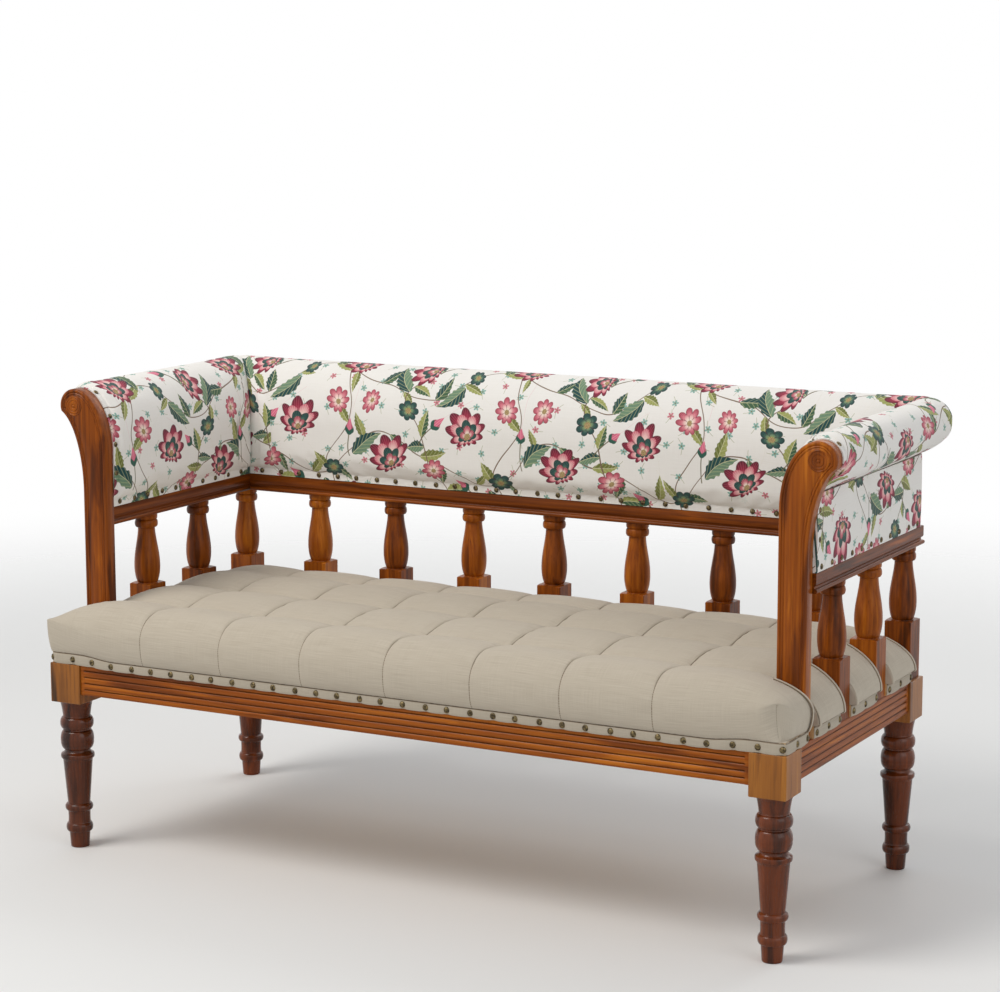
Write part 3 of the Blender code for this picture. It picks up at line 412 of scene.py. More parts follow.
def wood(name, along, pale, middle, deep, dark, rough=0.34, grooves=None):
    """Waxed hardwood with streaks along one axis, and painted shade in grooves that end at a half length."""
    def draw(base):
        place, seed, streaks, bands, slow, lines, pores = grain(base, along)
        # Tone of each piece from its seed: random on most pieces, set darkest on the mid rails as painted
        # shade under the covers
        shade = (seed * 12.9898).math("SINE") * 0.11
        tone = streaks * 0.85 + lines * 0.45 + slow * 0.25 + bands * 0.10 - 0.36 + shade
        colour = ramp(tone, (0.14, dark), (0.34, deep), (0.55, middle), (0.80, pale))
        colour = mix(pores * 0.45, colour, dark)
        if grooves:
            apart = split(place, 0, 1, 2)
            up = apart[2] - REED_MIDDLE
            phase = up / REED_PITCH + 0.5
            off = abs(phase - phase.math("ROUND")) * REED_PITCH
            length = abs(apart[along] - float(SHIFT[along]))
            # Painted shade: the reed grooves are darkened towards the darkest tone, up to where they stop
            groove_shade = inside(off - 0.0011, 0.0009) * inside(length - grooves, 0.002) * inside(abs(up) - 0.0225)
            colour = mix(groove_shade * 0.75, colour, dark)
        height = streaks * 0.35 - pores
        return {"Base Color": colour, "Roughness": pores * 0.16 + slow * 0.10 + (rough - 0.06),
                "Normal": bump(height, 0.22, 0.0006)}
    return finish(name, draw, Specular_IOR_Level=0.12, Coat_Weight=0.06, Coat_Roughness=0.14)


HONEY = [paint(190, 110, 28), paint(146, 74, 14), paint(98, 45, 9), paint(54, 26, 7)]
RUSSET = [paint(150, 74, 26), paint(110, 50, 16), paint(76, 33, 10), paint(40, 18, 7)]
YELLOW = [paint(178, 115, 40), paint(150, 91, 28), paint(112, 65, 20), paint(54, 33, 12)]


def leg_wood():
    """Legs: dark reddish turning under a paler, yellower block with dark streaks."""
    def draw(base):
        place, _, streaks, bands, slow, lines, pores = grain(base, 2)
        block = rise(split(place, 2), BLOCK_LOW - 0.0006, BLOCK_LOW + 0.0006)
        tone = streaks * 0.80 + lines * 0.35 + slow * 0.50 + bands * 0.10 - 0.415
        low = ramp(tone, *zip((0.2, 0.36, 0.55, 0.8), RUSSET[::-1]))
        high = ramp(tone, *zip((0.18, 0.32, 0.5, 0.8), YELLOW[::-1]))
        colour = mix(pores * 0.4, mix(block, low, high), paint(44, 22, 12))
        return {"Base Color": colour, "Roughness": block * 0.12 + pores * 0.14 + slow * 0.08 + 0.20,
                "Normal": bump(streaks * 0.35 - pores, 0.2, 0.0006)}
    return finish("leg_wood", draw, Specular_IOR_Level=0.2, Coat_Weight=0.22, Coat_Roughness=0.07)


def timber(base):
    """Sawn plain timber inside the frame."""
    _, _, streaks, bands, _, _, pores = grain(base, 0)
    colour = ramp(streaks * 0.8 + bands * 0.2,
                  (0.2, paint(150, 110, 70)), (0.5, paint(190, 152, 106)), (0.8, paint(214, 182, 138)))
    return {"Base Color": mix(pores * 0.4, colour, paint(110, 78, 48)), "Roughness": pores * 0.1 + 0.68,
            "Normal": bump(streaks - pores, 0.35, 0.0008)}


def weave(flat, pitch, slub):
    """Plain weave on the cloth's own metres: crossing threads, drawn-out slubs, as height and as tone."""
    across, along = split(flat, 0, 1)
    turn = 2 * math.pi / pitch
    threads = (across * turn).math("SINE") * (along * turn).math("SINE")
    level = vector("MULTIPLY", flat, (18.0, 900.0, 1.0))
    upright = vector("MULTIPLY", flat, (900.0, 18.0, 1.0))
    slubs = noise(level, 1.0, 2) * slub + noise(upright, 1.0, 2) * (1 - slub)
    return threads, slubs


def linen(base):
    """Greige linen of the seat: slubs across, fine threads, brown stitching in the seams, painted shade on
    the nailed bands, and dark lines of painted shade in gaps and creases.
    """
    flat = base.node("ShaderNodeUVMap", {"uv_map": "cloth"})
    threads, slubs = weave(flat, 0.0011, 0.7)
    colour = ramp(slubs + threads * 0.05 + noise(flat, 6, 3) * 0.10 - 0.05,
                  (0.25, paint(176, 164, 146)), (0.52, paint(190, 179, 161)), (0.78, paint(200, 190, 174)))
    # Painted shade: the nailed bands under the seat's overhang are darkened towards brown grey by their mark
    colour = mix(attribute(base, "dim"), colour, paint(112, 101, 82))
    # The dark line is stitching where the marks are stitches, and painted shade where they mark gaps and
    # creases
    line = rise(attribute(base, "stitch"), 0.45, 0.75)
    stitches = rise((attribute(base, "stitch_along") * (2 * math.pi / 0.0042)).math("SINE"), -0.3, 0.3)
    colour = mix(line * (stitches * 0.45 + 0.4), colour, paint(104, 84, 62))
    height = threads * 0.5 + slubs * 1.2 - line * 1.5
    return {"Base Color": colour, "Roughness": slubs * 0.1 + 0.82, "Normal": bump(height, 0.35, 0.0005)}


def wrap(value, size):
    """The value brought into one repeat about nought."""
    return value.math("WRAP", size / 2, -size / 2)


def clip(value):
    return value.math("MAXIMUM", 0.0).math("MINIMUM", 1.0)


def rotated(x, y, angle):
    """A place as seen from axes turned by an angle."""
    cos, sin = angle.math("COSINE"), angle.math("SINE")
    return x * cos + y * sin, y * cos - x * sin


def chance(number, salt):
    """A share between nought and one that goes with a whole number."""
    return ((number + 1) * salt).math("SINE").math("MULTIPLY", 437.5).math("FRACT")


class Print:
    """One repeat of the printed cotton: the place in it, the strokes of the brush, and its motifs.

    Every motif is a signed distance from its own point of the repeat, wrapped so that it crosses the edges.
    Motifs of a kind share one drawing: the nearest of their points gives the place and a number, and the
    number gives the turn, the size and the colours.
    """

    def __init__(self, flat):
        drift = vector("SUBTRACT", noise(flat, 9, 1, out="Color"), (0.5, 0.5, 0.5))
        moved = vector("ADD", flat, vector("MULTIPLY", drift, (0.030, 0.030, 0.0)))
        self.u, self.v = split(moved, 0, 1)
        self.brush = noise(flat, 420, 2)

    def nearest_of(self, places):
        """Offsets from the nearest of the places in the repeat, and its number."""
        best = x = y = number = None
        for k, (at_u, at_v) in enumerate(places):
            dx = wrap(self.u - at_u * PRINT_LONG, PRINT_LONG)
            dy = wrap(self.v - at_v * PRINT_TALL, PRINT_TALL)
            far = dx * dx + dy * dy
            if best is None:
                best, x, y, number = far, dx, dy, far * 0
            else:
                near = far.math("LESS_THAN", best)
                best = best.math("MINIMUM", far)
                x, y, number = x + near * (dx - x), y + near * (dy - y), number + near * (k - number)
        return x, y, number

    def leaf(self, colour, up, side, length, width, dark, light):
        """One blade: two tones about a pale rib, slanting veins and a toothed edge."""
        body = clip(up / length)
        edge = ((body ** 0.75) * math.pi).math("SINE") * width * ((body * 40).math("SINE") * 0.10 + 1)
        blade = inside(abs(side) - edge) * rise(up, 0.0, 0.0008)
        tone = mix(rise(side, -0.0004, 0.0004), light, dark)
        veins = rise((body * 40 - abs(side) * 800).math("SINE"), 0.5, 0.95)
        tone = mix(veins * 0.35, tone, paint(206, 208, 156))
        tone = mix(inside(abs(side) - 0.0005), tone, paint(216, 212, 168))
        return mix(blade, colour, mix((self.brush - 0.35) * 0.6, tone, paint(20, 44, 40)))

    def large_leaves(self, colour, places, dark, first, second):
        """Long curved leaves, each with one of two light tones."""
        x, y, number = self.nearest_of(places)
        up, side = rotated(x, y, chance(number, 5.13) * 6.28)
        light = mix(rise(chance(number, 2.2), 0.5, 0.51), first, second)
        return self.leaf(colour, up + 0.034, side + up * up * 6, 0.072, 0.0158, dark, light)

    def vine(self, colour, upright, at, sway, phase, leaves):
        """A meandering stem along or up the cloth, and rows of leaves at even steps on it."""
        along, over, period, other = self.u, self.v, PRINT_LONG, PRINT_TALL
        if upright:
            along, over, period, other = over, along, other, period
        turn = 2 * math.pi / period
        away = wrap(over - at * other, other)

        def curve(place):
            once, twice = place * turn + phase, place * (2 * turn) + 2 * phase
            return once.math("SINE") * sway + twice.math("SINE") * (sway / 3)

        def slant(place):
            return (place * turn + phase).math("COSINE") * (sway * turn)

        steep = slant(along)
        gap = abs(away - curve(along)) / (steep * steep + 1).math("SQRT")
        stem = mix(self.brush, paint(84, 62, 48), paint(146, 122, 98))
        colour = mix(inside(gap - 0.0010), colour, stem)
        for count, start, lean, length, width, dark, light in leaves:
            step = period / count
            place = ((along / step - start) + 0.5).math("FLOOR")
            size = chance(place, 7.31 + start) * 0.55 + 0.80
            at_leaf = (place + start) * step
            angle = slant(at_leaf) + (chance(place, 3.77) * 0.7 + lean)
            up, side = rotated((along - at_leaf) / size, (away - curve(at_leaf)) / size, angle)
            side = side - up * up * (4.0 if lean > 0 else -4.0)
            colour = self.leaf(colour, up, side, length, width, dark, light)
        return colour

    def tulips(self, colour, places):
        """Striped cups on short stems."""
        x, y, number = self.nearest_of(places)
        up, side = rotated(x / 0.034, y / 0.034, chance(number, 9.7) * 2.4 + 0.4)
        cup = ((clip(up) ** 0.62) * math.pi).math("SINE") * 0.30
        cup = cup + (abs((side * 9).math("COSINE")) - 1) * 0.05
        stem = inside(abs(side + up * up * 0.15) - 0.03, 0.02) * rise(up, -1.3, -1.25)
        colour = mix(stem * (1 - rise(up, 0, 0.05)), colour, paint(104, 96, 64))
        tone = mix(rise(abs(side) * 3.3, 0.15, 0.95), paint(220, 104, 134), paint(132, 18, 50))
        tone = mix(rise((side * 55).math("SINE"), 0.5, 0.9) * 0.45, tone, paint(242, 200, 204))
        tone = mix(1 - rise(up - abs(side) * 0.9, 0.22, 0.28), tone, paint(36, 84, 70))
        return mix(inside(abs(side) - cup, 0.015) * rise(up, 0.0, 0.02), colour, tone)

    def bloom(self, colour, places, radius, petals, rings, heart, lean, point):
        """Rings of petals: each ring's edge is a scalloped circle, shaded from throat to rim with fine veins.

        lean draws the circle out to one side, as of a half-open flower, and point sharpens the petals.
        """
        x, y, number = self.nearest_of(places)
        x, y = rotated(x, y, chance(number, 6.1) * 6.28)
        x = x * (chance(number, 3.3) * 0.35 + 0.92)
        far = (x * x + y * y).math("SQRT") / (radius * (chance(number, 8.4) * 0.3 + 0.82))
        around = y.math("ARCTAN2", x)
        for k, (reach, dip, throat, middle, rim) in enumerate(rings):
            count = petals - 2 * k
            scallop = abs(((around + 0.4 * k) * (count / 2)).math("COSINE"))
            edge = (scallop ** point) * (dip * reach) + reach * (1 - dip)
            share = far / (edge * (around.math("COSINE") * lean + (1 - lean)))
            tone = ramp(share, (0.35, throat), (0.70, middle), (0.97, rim))
            veins = rise((around * (count * 7)).math("SINE"), 0.35, 0.95) * rise(share, 0.3, 0.6)
            tone = mix(veins * 0.35, tone, throat)
            parting = (1 - rise(scallop, 0.12, 0.34)) * rise(share, 0.25, 0.5)
            tone = mix(parting * 0.6, tone, paint(74, 12, 32))
            colour = mix(inside(share - 1, 0.014), colour, mix((self.brush - 0.4) * 0.5, tone, rim))
        seeds = rise((x * 2400).math("SINE") * (y * 2400).math("SINE"), -0.1, 0.3)
        return mix(inside(far - heart, 0.014), colour, mix(seeds, paint(92, 30, 40), paint(226, 208, 138)))


def sprigs(flat, colour):
    """Small lobed blossoms on stalks, scattered over the ground."""
    scatter = {"Vector": flat, "Scale": 24.0, "Randomness": 0.8}
    plane = {"voronoi_dimensions": "2D"}
    spot, pick = flat.node("ShaderNodeTexVoronoi", plane, scatter, ("Position", "Color"))
    pick_a, pick_b, pick_c = split(pick, 0, 1, 2)
    x, y = rotated(*split(vector("SUBTRACT", flat, spot), 0, 1), pick_c * 6.28)
    far = (x * x + y * y).math("SQRT")
    lobes = abs((y.math("ARCTAN2", x) * 2.5).math("COSINE"))
    drawn = rise(pick_a, 0.28, 0.29)
    sprig = inside(far - (lobes * 0.0048 + 0.0022)) * drawn
    stalk = inside(abs(x + y * y * 20) - 0.0005) * inside(far - 0.016) * drawn
    colour = mix(stalk * 0.7, colour, paint(142, 148, 92))
    tint = mix(rise(pick_b, 0.66, 0.67), paint(118, 168, 156), paint(198, 98, 118))
    return mix(sprig * 0.9, colour, mix(inside(far - 0.0014), tint, paint(116, 100, 44)))


def floral(base):
    """Printed cotton: a repeat of vines with toothed leaves, tulips, blossoms and layered blooms on cream."""
    flat = base.node("ShaderNodeUVMap", {"uv_map": "cloth"})
    threads, slubs = weave(flat, 0.0008, 0.6)
    colour = ramp(slubs + threads * 0.06, (0.2, paint(231, 227, 221)), (0.8, paint(240, 237, 232)))
    colour = sprigs(flat, colour)

    # Vines, with rows of leaves: how many to a repeat, start, lean, length, width and two tones
    teal, moss, olive = paint(14, 66, 66), paint(58, 92, 62), paint(112, 118, 52)
    lime, sage = paint(160, 164, 92), paint(110, 140, 112)
    motifs = Print(flat)
    colour = motifs.vine(colour, False, 0.27, 0.040, 0.4, [
        (3, 0.10, 0.5, 0.046, 0.0092, olive, lime), (3, 0.55, -1.2, 0.040, 0.0080, moss, sage)])
    colour = motifs.vine(colour, False, 0.76, 0.034, 2.6, [
        (3, 0.35, 0.5, 0.048, 0.0105, teal, moss), (3, 0.80, -1.1, 0.038, 0.0072, olive, lime)])
    colour = motifs.vine(colour, True, 0.40, 0.036, 1.1, [
        (3, 0.20, 0.7, 0.042, 0.0085, moss, lime), (2, 0.70, -1.4, 0.046, 0.0105, teal, sage)])
    colour = motifs.vine(colour, True, 0.88, 0.024, 4.0, [(3, 0.45, -1.1, 0.040, 0.0078, olive, lime)])
    places = [(0.04, 0.36), (0.55, 0.66), (0.80, 0.98), (0.24, 0.78)]
    colour = motifs.large_leaves(colour, places, teal, moss, sage)
    colour = motifs.tulips(colour, [(0.44, 0.46), (0.64, 0.08), (0.95, 0.40), (0.50, 0.93)])

    # Blooms, with rings of petals: reach, depth of the scallops, and tones of throat, middle and rim
    crimson, wine, rose = paint(148, 28, 58), paint(84, 13, 34), paint(204, 98, 118)
    blush, cream = paint(236, 190, 186), paint(242, 230, 212)
    peony = [(1.0, 0.30, rose, crimson, wine), (0.76, 0.26, cream, blush, rose),
             (0.54, 0.28, sage, teal, paint(10, 50, 52)), (0.34, 0.3, cream, rose, crimson)]
    rosette = [(1.0, 0.36, blush, rose, crimson), (0.62, 0.30, cream, blush, rose)]
    dusk = [(1.0, 0.30, sage, teal, paint(12, 48, 50)), (0.60, 0.34, lime, sage, teal)]
    places = [(0.84, 0.15), (0.31, 0.55), (0.66, 0.84)]
    colour = motifs.bloom(colour, places, 0.0235, 7, dusk, 0.24, 0.1, 0.6)
    places = [(0.46, 0.20), (0.86, 0.60), (0.08, 0.62)]
    colour = motifs.bloom(colour, places, 0.0285, 9, rosette, 0.18, 0.12, 0.6)
    places = [(0.19, 0.25), (0.64, 0.42), (0.38, 0.86), (0.96, 0.88)]
    colour = motifs.bloom(colour, places, 0.0560, 11, peony, 0.10, 0.36, 1.1)
    return {"Base Color": colour, "Roughness": slubs * 0.1 + 0.78,
            "Normal": bump(threads * 0.5 + slubs, 0.22, 0.0004)}


def brass(base):
    """Antique brass nails: dark olive bronze, brighter where it is rubbed."""
    place = base.node("ShaderNodeTexCoord", out="Object")
    rub = noise(place, 260, 3)
    colour = mix(rise(rub, 0.35, 0.7), paint(58, 50, 36), paint(128, 112, 78))
    return {"Base Color": colour, "Roughness": rub * 0.25 + 0.22, "Normal": bump(rub, 0.3, 0.0008)}


def plywood(base):
    """Sanded board: pale veneer with faint cathedral streaks."""
    _, _, streaks, bands, _, _, pores = grain(base, 0)
    colour = mix(bands, paint(196, 160, 112), paint(216, 186, 142))
    return {"Base Color": mix(pores * 0.3, colour, paint(140, 104, 66)), "Roughness": pores * 0.1 + 0.6,
            "Normal": bump(streaks, 0.2, 0.0005)}


WOOD_X = wood("honey_wood_x", 0, *HONEY)
WOOD_Y = wood("honey_wood_y", 1, *HONEY)
WOOD_Z = wood("honey_wood_z", 2, *HONEY)
REED_X = wood("honey_wood_reeded_x", 0, *HONEY, grooves=RAIL_SPAN_X / 2 - 0.007)
REED_Y = wood("honey_wood_reeded_y", 1, *HONEY, grooves=RAIL_SPAN_Y / 2 - 0.007)
LEG_WOOD = leg_wood()
LINEN = finish("linen", linen, Sheen_Weight=0.12)
FLORAL = finish("floral_cotton", floral, Sheen_Weight=0.10)
BRASS = finish("antique_brass", brass, Metallic=0.85)
TIMBER = finish("frame_timber", timber)
PLYWOOD = finish("plywood", plywood)


# Wooden pieces

def rounded_square(corner, flat_steps=14, corner_steps=5):
    """Outline of a square of half side 1 whose corners are arcs of the given radius."""
    side = np.linspace(corner - 1, 1 - corner, flat_steps, endpoint=False)
    arc = np.linspace(0, np.pi / 2, corner_steps, endpoint=False)
    edge = np.stack([np.ones_like(side), side], -1)
    quarter = np.concatenate([edge, 1 - corner + corner * np.stack([np.cos(arc), np.sin(arc)], -1)])
    quarters = [quarter]
    for _ in range(3):
        quarters.append(np.stack([-quarters[-1][:, 1], quarters[-1][:, 0]], -1))
    return np.concatenate(quarters)


def spindle(outline, profile):
    """Rings of a stick: each point lies at the square's reach or the turned radius, whichever is less.

    A row of profile holds the level, the half side of the square and the turned radius.
    """
    level, half, radius = np.asarray(profile).T
    reach = np.linalg.norm(outline, axis=1)
    ring = np.minimum(half[:, None] * reach, radius[:, None])[..., None] * (outline / reach[:, None])
    return stack(ring[..., 0], ring[..., 1], level[:, None])


def swell(top, low, neck, full, count=16):
    """Turned bead: the radius goes from neck to full and back as half an ellipse."""
    turn = np.linspace(0, np.pi, count)
    return np.stack([top + (low - top) * (1 - np.cos(turn)) / 2, neck + (full - neck) * np.sin(turn)], -1)


def slope(top, low, first, last, power=1.0, count=12):
    """Turned length whose radius goes from first to last as a power of the way down."""
    way = np.linspace(0, 1, count)
    return np.stack([top + (low - top) * way, first + (last - first) * way ** power], -1)


def leg_profile():
    """Block with eased edges, then the turned leg: cup, collar, ball, flare, shaft, rings and foot."""
    turn = np.linspace(0, np.pi / 2, 4)
    half, ease_by, far = BLOCK_HALF, 0.0016, 1.0
    over = np.stack([FRAME_TOP - ease_by * (1 - np.cos(turn)), half - ease_by * (1 - np.sin(turn))], -1)
    under = np.stack([BLOCK_LOW + ease_by * (1 - np.sin(turn)), half - ease_by * (1 - np.cos(turn))], -1)
    block = np.concatenate([[[FRAME_TOP, 0]], over, under])
    block = np.column_stack([block, np.full(len(block), far)])
    ball = swell(0.2174, 0.183, 0.0238, 0.030, 26)
    ball[:, 1] -= 0.0007 * bell(ball[:, 0] - 0.1975, 0.0007)
    turned = np.concatenate([
        slope(0.272, 0.2445, 0.0306, 0.0246, 0.55), [[0.2436, 0.0252], [0.2424, 0.0252]],
        swell(0.2420, 0.2206, 0.0250, 0.030), [[0.2200, 0.0252], [0.2180, 0.0252]],
        ball, [[0.1824, 0.0228]], slope(0.1812, 0.1745, 0.0228, 0.0292, 2.2),
        swell(0.1745, 0.1662, 0.0290, 0.0302, 9), [[0.1655, 0.0274], [0.1626, 0.0268]],
        slope(0.1622, 0.0820, 0.0264, 0.0200), swell(0.0816, 0.0680, 0.0204, 0.025),
        slope(0.0676, 0.0560, 0.0202, 0.0197, 0.5, 5), slope(0.0556, 0.0454, 0.0197, 0.0202, 2, 5),
        swell(0.0450, 0.0292, 0.0204, 0.024), slope(0.0286, 0.0016, 0.0187, 0.0168, 1, 6),
        [[0.0004, 0.0162], [0.0, 0.0152], [0.0, 0.0]]])
    turned = np.column_stack([turned[:, 0], np.full(len(turned), far), turned[:, 1]])
    return np.concatenate([block, turned])


def make_legs():
    """Four turned legs with square blocks."""
    rings = spindle(rounded_square(0.05), leg_profile())
    seed = 1.0
    for end, way in (("front", -1), ("back", 1)):
        for name, side in SIDES.items():
            node = f"leg_{end}_{name}"
            points = rings + np.array([side * LEG_X, way * LEG_Y, 0])
            tube(node + "_turned", points, LEG_WOOD, "leg_wood", [node], False, seed=seed)
            seed += 1.37


def baluster_profile():
    """Square base with a turned shoulder, vase, bead and collar, from the top down."""
    up = np.linspace(0, 1, 14)
    neck, full, foot = 0.0157, 0.024, 0.0182
    vase_top, fullest = 0.5512, 0.4800
    upper = np.stack([vase_top + (fullest - vase_top) * up,
                      neck + (full - neck) * np.sin(np.pi / 2 * up) ** 1.6], -1)
    lower = np.stack([fullest + (BASE_TOP + 0.001 - fullest) * up[1:],
                      foot + (full - foot) * (1 - up[1:] ** 2) ** 0.75], -1)
    turned = np.concatenate([
        [[MID_LOW - FIT, 0], [MID_LOW - FIT, 0.0198], [0.5778, 0.0207], [0.5725, 0.0208],
         [0.5690, 0.0203], [0.5677, 0.0183]],
        swell(0.5672, 0.5530, 0.0183, 0.0214), [[0.5526, 0.0174], [0.5518, 0.0162]], upper, lower,
        [[BASE_TOP, 0.0186], [BASE_TOP, 0.0215]]])
    turned = np.column_stack([turned[:, 0], np.full(len(turned), 1.0), turned[:, 1]])
    drop = np.linspace(0.05, 1, 8)
    shoulder = np.column_stack([BASE_TOP - 0.0022 * drop ** 3, np.full(len(drop), BASE_HALF),
                                0.0215 + 0.0135 * drop ** 0.7])
    foot_rows = [[FRAME_TOP + FIT, BASE_HALF, 1.0], [FRAME_TOP + FIT, 0, 1.0]]
    return np.concatenate([turned, shoulder, foot_rows])


def make_balusters():
    """Seven balusters in the back, two in the corners and two in each arm."""
    rings = spindle(rounded_square(0.05, 10, 4), baluster_profile())
    places = {f"baluster_back_{k + 1}": (x, UP_Y) for k, x in enumerate(BACK_PLACES[1:-1])}
    for name, side in SIDES.items():
        places[f"baluster_corner_{name}"] = (side * UP_X, UP_Y)
        places.update({f"baluster_{name}_{k + 1}": (side * UP_X, y) for k, y in enumerate(SIDE_PLACES)})
    for k, (node, (x, y)) in enumerate(places.items()):
        points = rings + np.array([x, y, 0])
        tube(node + "_turned", points, WOOD_Z, "honey_wood", [node], False, seed=3 + 0.71 * k)


def make_rails():
    """Rails with five half-round reeds whose grooves stop short of the blocks."""
    grooves = REED_MIDDLE + REED_PITCH * np.array([-1.5, -0.5, 0.5, 1.5])
    up = graded([RAIL_LOW, *grooves, FRAME_TOP], REED_PITCH / 12)
    phase = (up - REED_MIDDLE) / REED_PITCH
    reed = 2 * (phase - np.round(phase))
    groove = np.where(np.abs(phase) > 2.5, 0, reed ** 2) + 0.25 * bell(1 - np.abs(reed), 0.12)
    soft = 0.001
    level = np.concatenate([up, [FRAME_TOP, FRAME_TOP - soft, RAIL_LOW + soft, RAIL_LOW]])
    close = np.array([0, 3, 4, 5, 6, 7, 8, 9, 10, 12, 16]) / 1000
    for name, span, face, wood_way, seed in (
            ("front", RAIL_SPAN_X, RAIL_Y, REED_X, 1.1), ("back", RAIL_SPAN_X, RAIL_Y, REED_X, 2.3),
            ("left", RAIL_SPAN_Y, RAIL_X, REED_Y, 3.7), ("right", RAIL_SPAN_Y, RAIL_X, REED_Y, 4.9)):
        half = span / 2 - FIT
        along = graded([*(close - half), *(half - close)], 0.06)
        stop = ease(half - np.abs(along), REED_STOP, REED_STOP + 0.0045)
        behind = face - RAIL_THICK + soft * np.array([1, 0, 0, 1])
        section = np.concatenate([face - REED_DEPTH * groove * stop[:, None],
                                  np.broadcast_to(behind, (len(along), 4))], 1)
        a, o, z = np.broadcast_arrays(along[:, None], section, level)
        points = {"front": (a, -o, z), "back": (a, o, z), "left": (-o, a, z), "right": (o, a, z)}[name]
        tube(f"seat_rail_{name}_reeded", stack(*points), wood_way, "honey_wood", [f"seat_rail_{name}"],
             seed=seed, crease=50)


def mid_section():
    """Moulding of the mid rail: bead along the lower edge, groove, lip and flat face, both sides alike."""
    turn = np.radians(np.linspace(-90, 90, 13))
    bead_at = MID_LOW + MID_BEAD
    bow = np.stack([MID_HALF - MID_BEAD / 2 + MID_BEAD * np.cos(turn), bead_at + MID_BEAD * np.sin(turn)], -1)
    hollow = np.array([[MID_HALF - 0.0030, bead_at + 0.0046], [MID_HALF - 0.0034, bead_at + 0.0058],
                       [MID_HALF - 0.0034, bead_at + 0.0070], [MID_HALF - 0.0022, bead_at + 0.0088],
                       [MID_HALF - 0.0006, bead_at + 0.0100], [MID_HALF, bead_at + 0.0116],
                       [MID_HALF, MID_TOP - 0.0016], [MID_HALF - 0.0005, MID_TOP - 0.0005],
                       [MID_HALF - 0.0016, MID_TOP]])
    outer = np.concatenate([bow, hollow])
    return np.concatenate([outer, outer[::-1] * [-1, 1]])


def make_mid_rails():
    """Moulded rails along the tops of the balusters, mitred at the back corners."""
    across, up = mid_section().T
    share = np.linspace(0, 1, 12)[:, None]
    reach = UP_X + across - FIT
    points = stack((2 * share - 1) * reach, UP_Y + across, up)
    # The seeds of the mid rails give the darkest tone of the wood: painted shade under the overhanging covers
    tube("mid_rail_back_moulded", points, WOOD_X, "honey_wood", ["mid_rail_back"], seed=6.167)
    for name, side in SIDES.items():
        start, stop = POST_BACK + FIT, UP_Y + across - FIT
        points = stack(side * (UP_X + across), start + (stop - start) * share, up)
        tube(f"mid_rail_{name}_moulded", points, WOOD_Y, "honey_wood", [f"mid_rail_{name}"],
             seed=7.376 + 1.209 * side)


def scroll(inner, outer, radius, end, steps=24):
    """Scroll as distance across and height, for one or many inner offsets and radii.

    A quarter ellipse from the spring of the inner face up to the crest, an arc of the roll to the end
    angle, and an ellipse from there in and down to the neck of the outer face.
    """
    inner, radius = np.asarray(inner)[..., None], np.asarray(radius)[..., None]
    turn = np.linspace(0, np.pi / 2, steps, endpoint=False)
    face = ROLL_OUT - (ROLL_OUT + inner) * np.cos(turn), SPRING + (ROLL + radius - SPRING) * np.sin(turn)
    turn = np.linspace(np.pi / 2, end, steps + 6)
    roll = ROLL_OUT + radius * np.cos(turn), ROLL + radius * np.sin(turn)
    turn = np.linspace(SWEEP, 0, steps)[1:]
    far, level = roll[0][..., -1:], roll[1][..., -1:]
    width, height = (far - outer) / (1 - math.cos(SWEEP)), (level - NECK) / math.sin(SWEEP)
    under = outer + width * (1 - np.cos(turn)), NECK + height * np.sin(turn)
    return [np.concatenate(parts, -1) for parts in zip(face, roll, under)]


def make_posts():
    """Sawn arm posts: the scroll outline carried forward, drawn in by the bead and grooves of its edge."""
    across, up = scroll(POST_INNER, POST_OUTER, POST_RADIUS, WOOD_END, 30)
    foot = FRAME_TOP + FIT
    climb = np.linspace(foot, SPRING, 20, endpoint=False)
    fall = np.linspace(NECK, foot, 16)[1:]
    across = np.concatenate([np.full(len(climb), -POST_INNER), across, np.full(len(fall), POST_OUTER)])
    up = np.concatenate([climb, up, fall])
    line = np.stack([across, up], -1)
    tangent = np.gradient(line, axis=0)
    tangent /= np.linalg.norm(tangent, axis=1)[:, None]
    inward = np.stack([tangent[:, 1], -tangent[:, 0]], -1)
    turn = np.linspace(0, np.pi / 2, 6)
    soft, edge = 0.0015, 0.0038
    # Grooves of the front face, in tenths of a millimetre: how far in from the edge, and how deep
    groove_in = np.array([50, 56, 63, 70, 76, 84, 92, 99, 106, 113, 130]) / 10000
    groove_deep = np.array([0, 9, 13, 9, 0, -4, 0, 9, 13, 9, 0]) / 10000
    inset = np.concatenate([[0.008], soft * (1 - np.sin(turn[:-1])), edge * (1 - np.cos(turn)), groove_in])
    depth = np.concatenate([[POST_BACK], POST_BACK - soft * (1 - np.cos(turn[:-1])),
                            POST_FRONT + edge * (1 - np.sin(turn)), POST_FRONT + groove_deep])
    rings = line + inset[:, None, None] * inward
    rings[..., 1] = np.maximum(rings[..., 1], foot)
    # Roundel, in tenths of a millimetre: radius of each ring, and how far it stands proud
    radius = np.array([0, 12, 22, 29, 34, 42, 65, 86, 92, 99,
                       106, 120, 136, 143, 150, 158, 168, 176, 180]) / 10000
    proud = np.array([25, 22, 14, 4, 3, 10, 14, 12, 4, 3, 8, 12, 9, 2, 2, 8, 9, 3, -8]) / 10000
    angle = np.linspace(0, 2 * np.pi, 40, endpoint=False)
    for name, side in SIDES.items():
        node = f"arm_post_{name}"
        points = stack(side * (UP_X + rings[..., 0]), depth[:, None], rings[..., 1])
        tube(node + "_scroll", points, WOOD_Z, "honey_wood", [node], seed=11.1138 + 2.1517 * side, crease=32)
        points = stack(side * (UP_X + ROLL_OUT) + radius[:, None] * np.cos(angle),
                       POST_FRONT - proud[:, None], ROLL + radius[:, None] * np.sin(angle))
        piece(f"roundel_{name}", points, lattice(len(radius), len(angle), True), WOOD_Z, "honey_wood",
              rims=[ends(len(radius), len(angle))[1]], seed=15.7 + side, crease=30)


# Seat

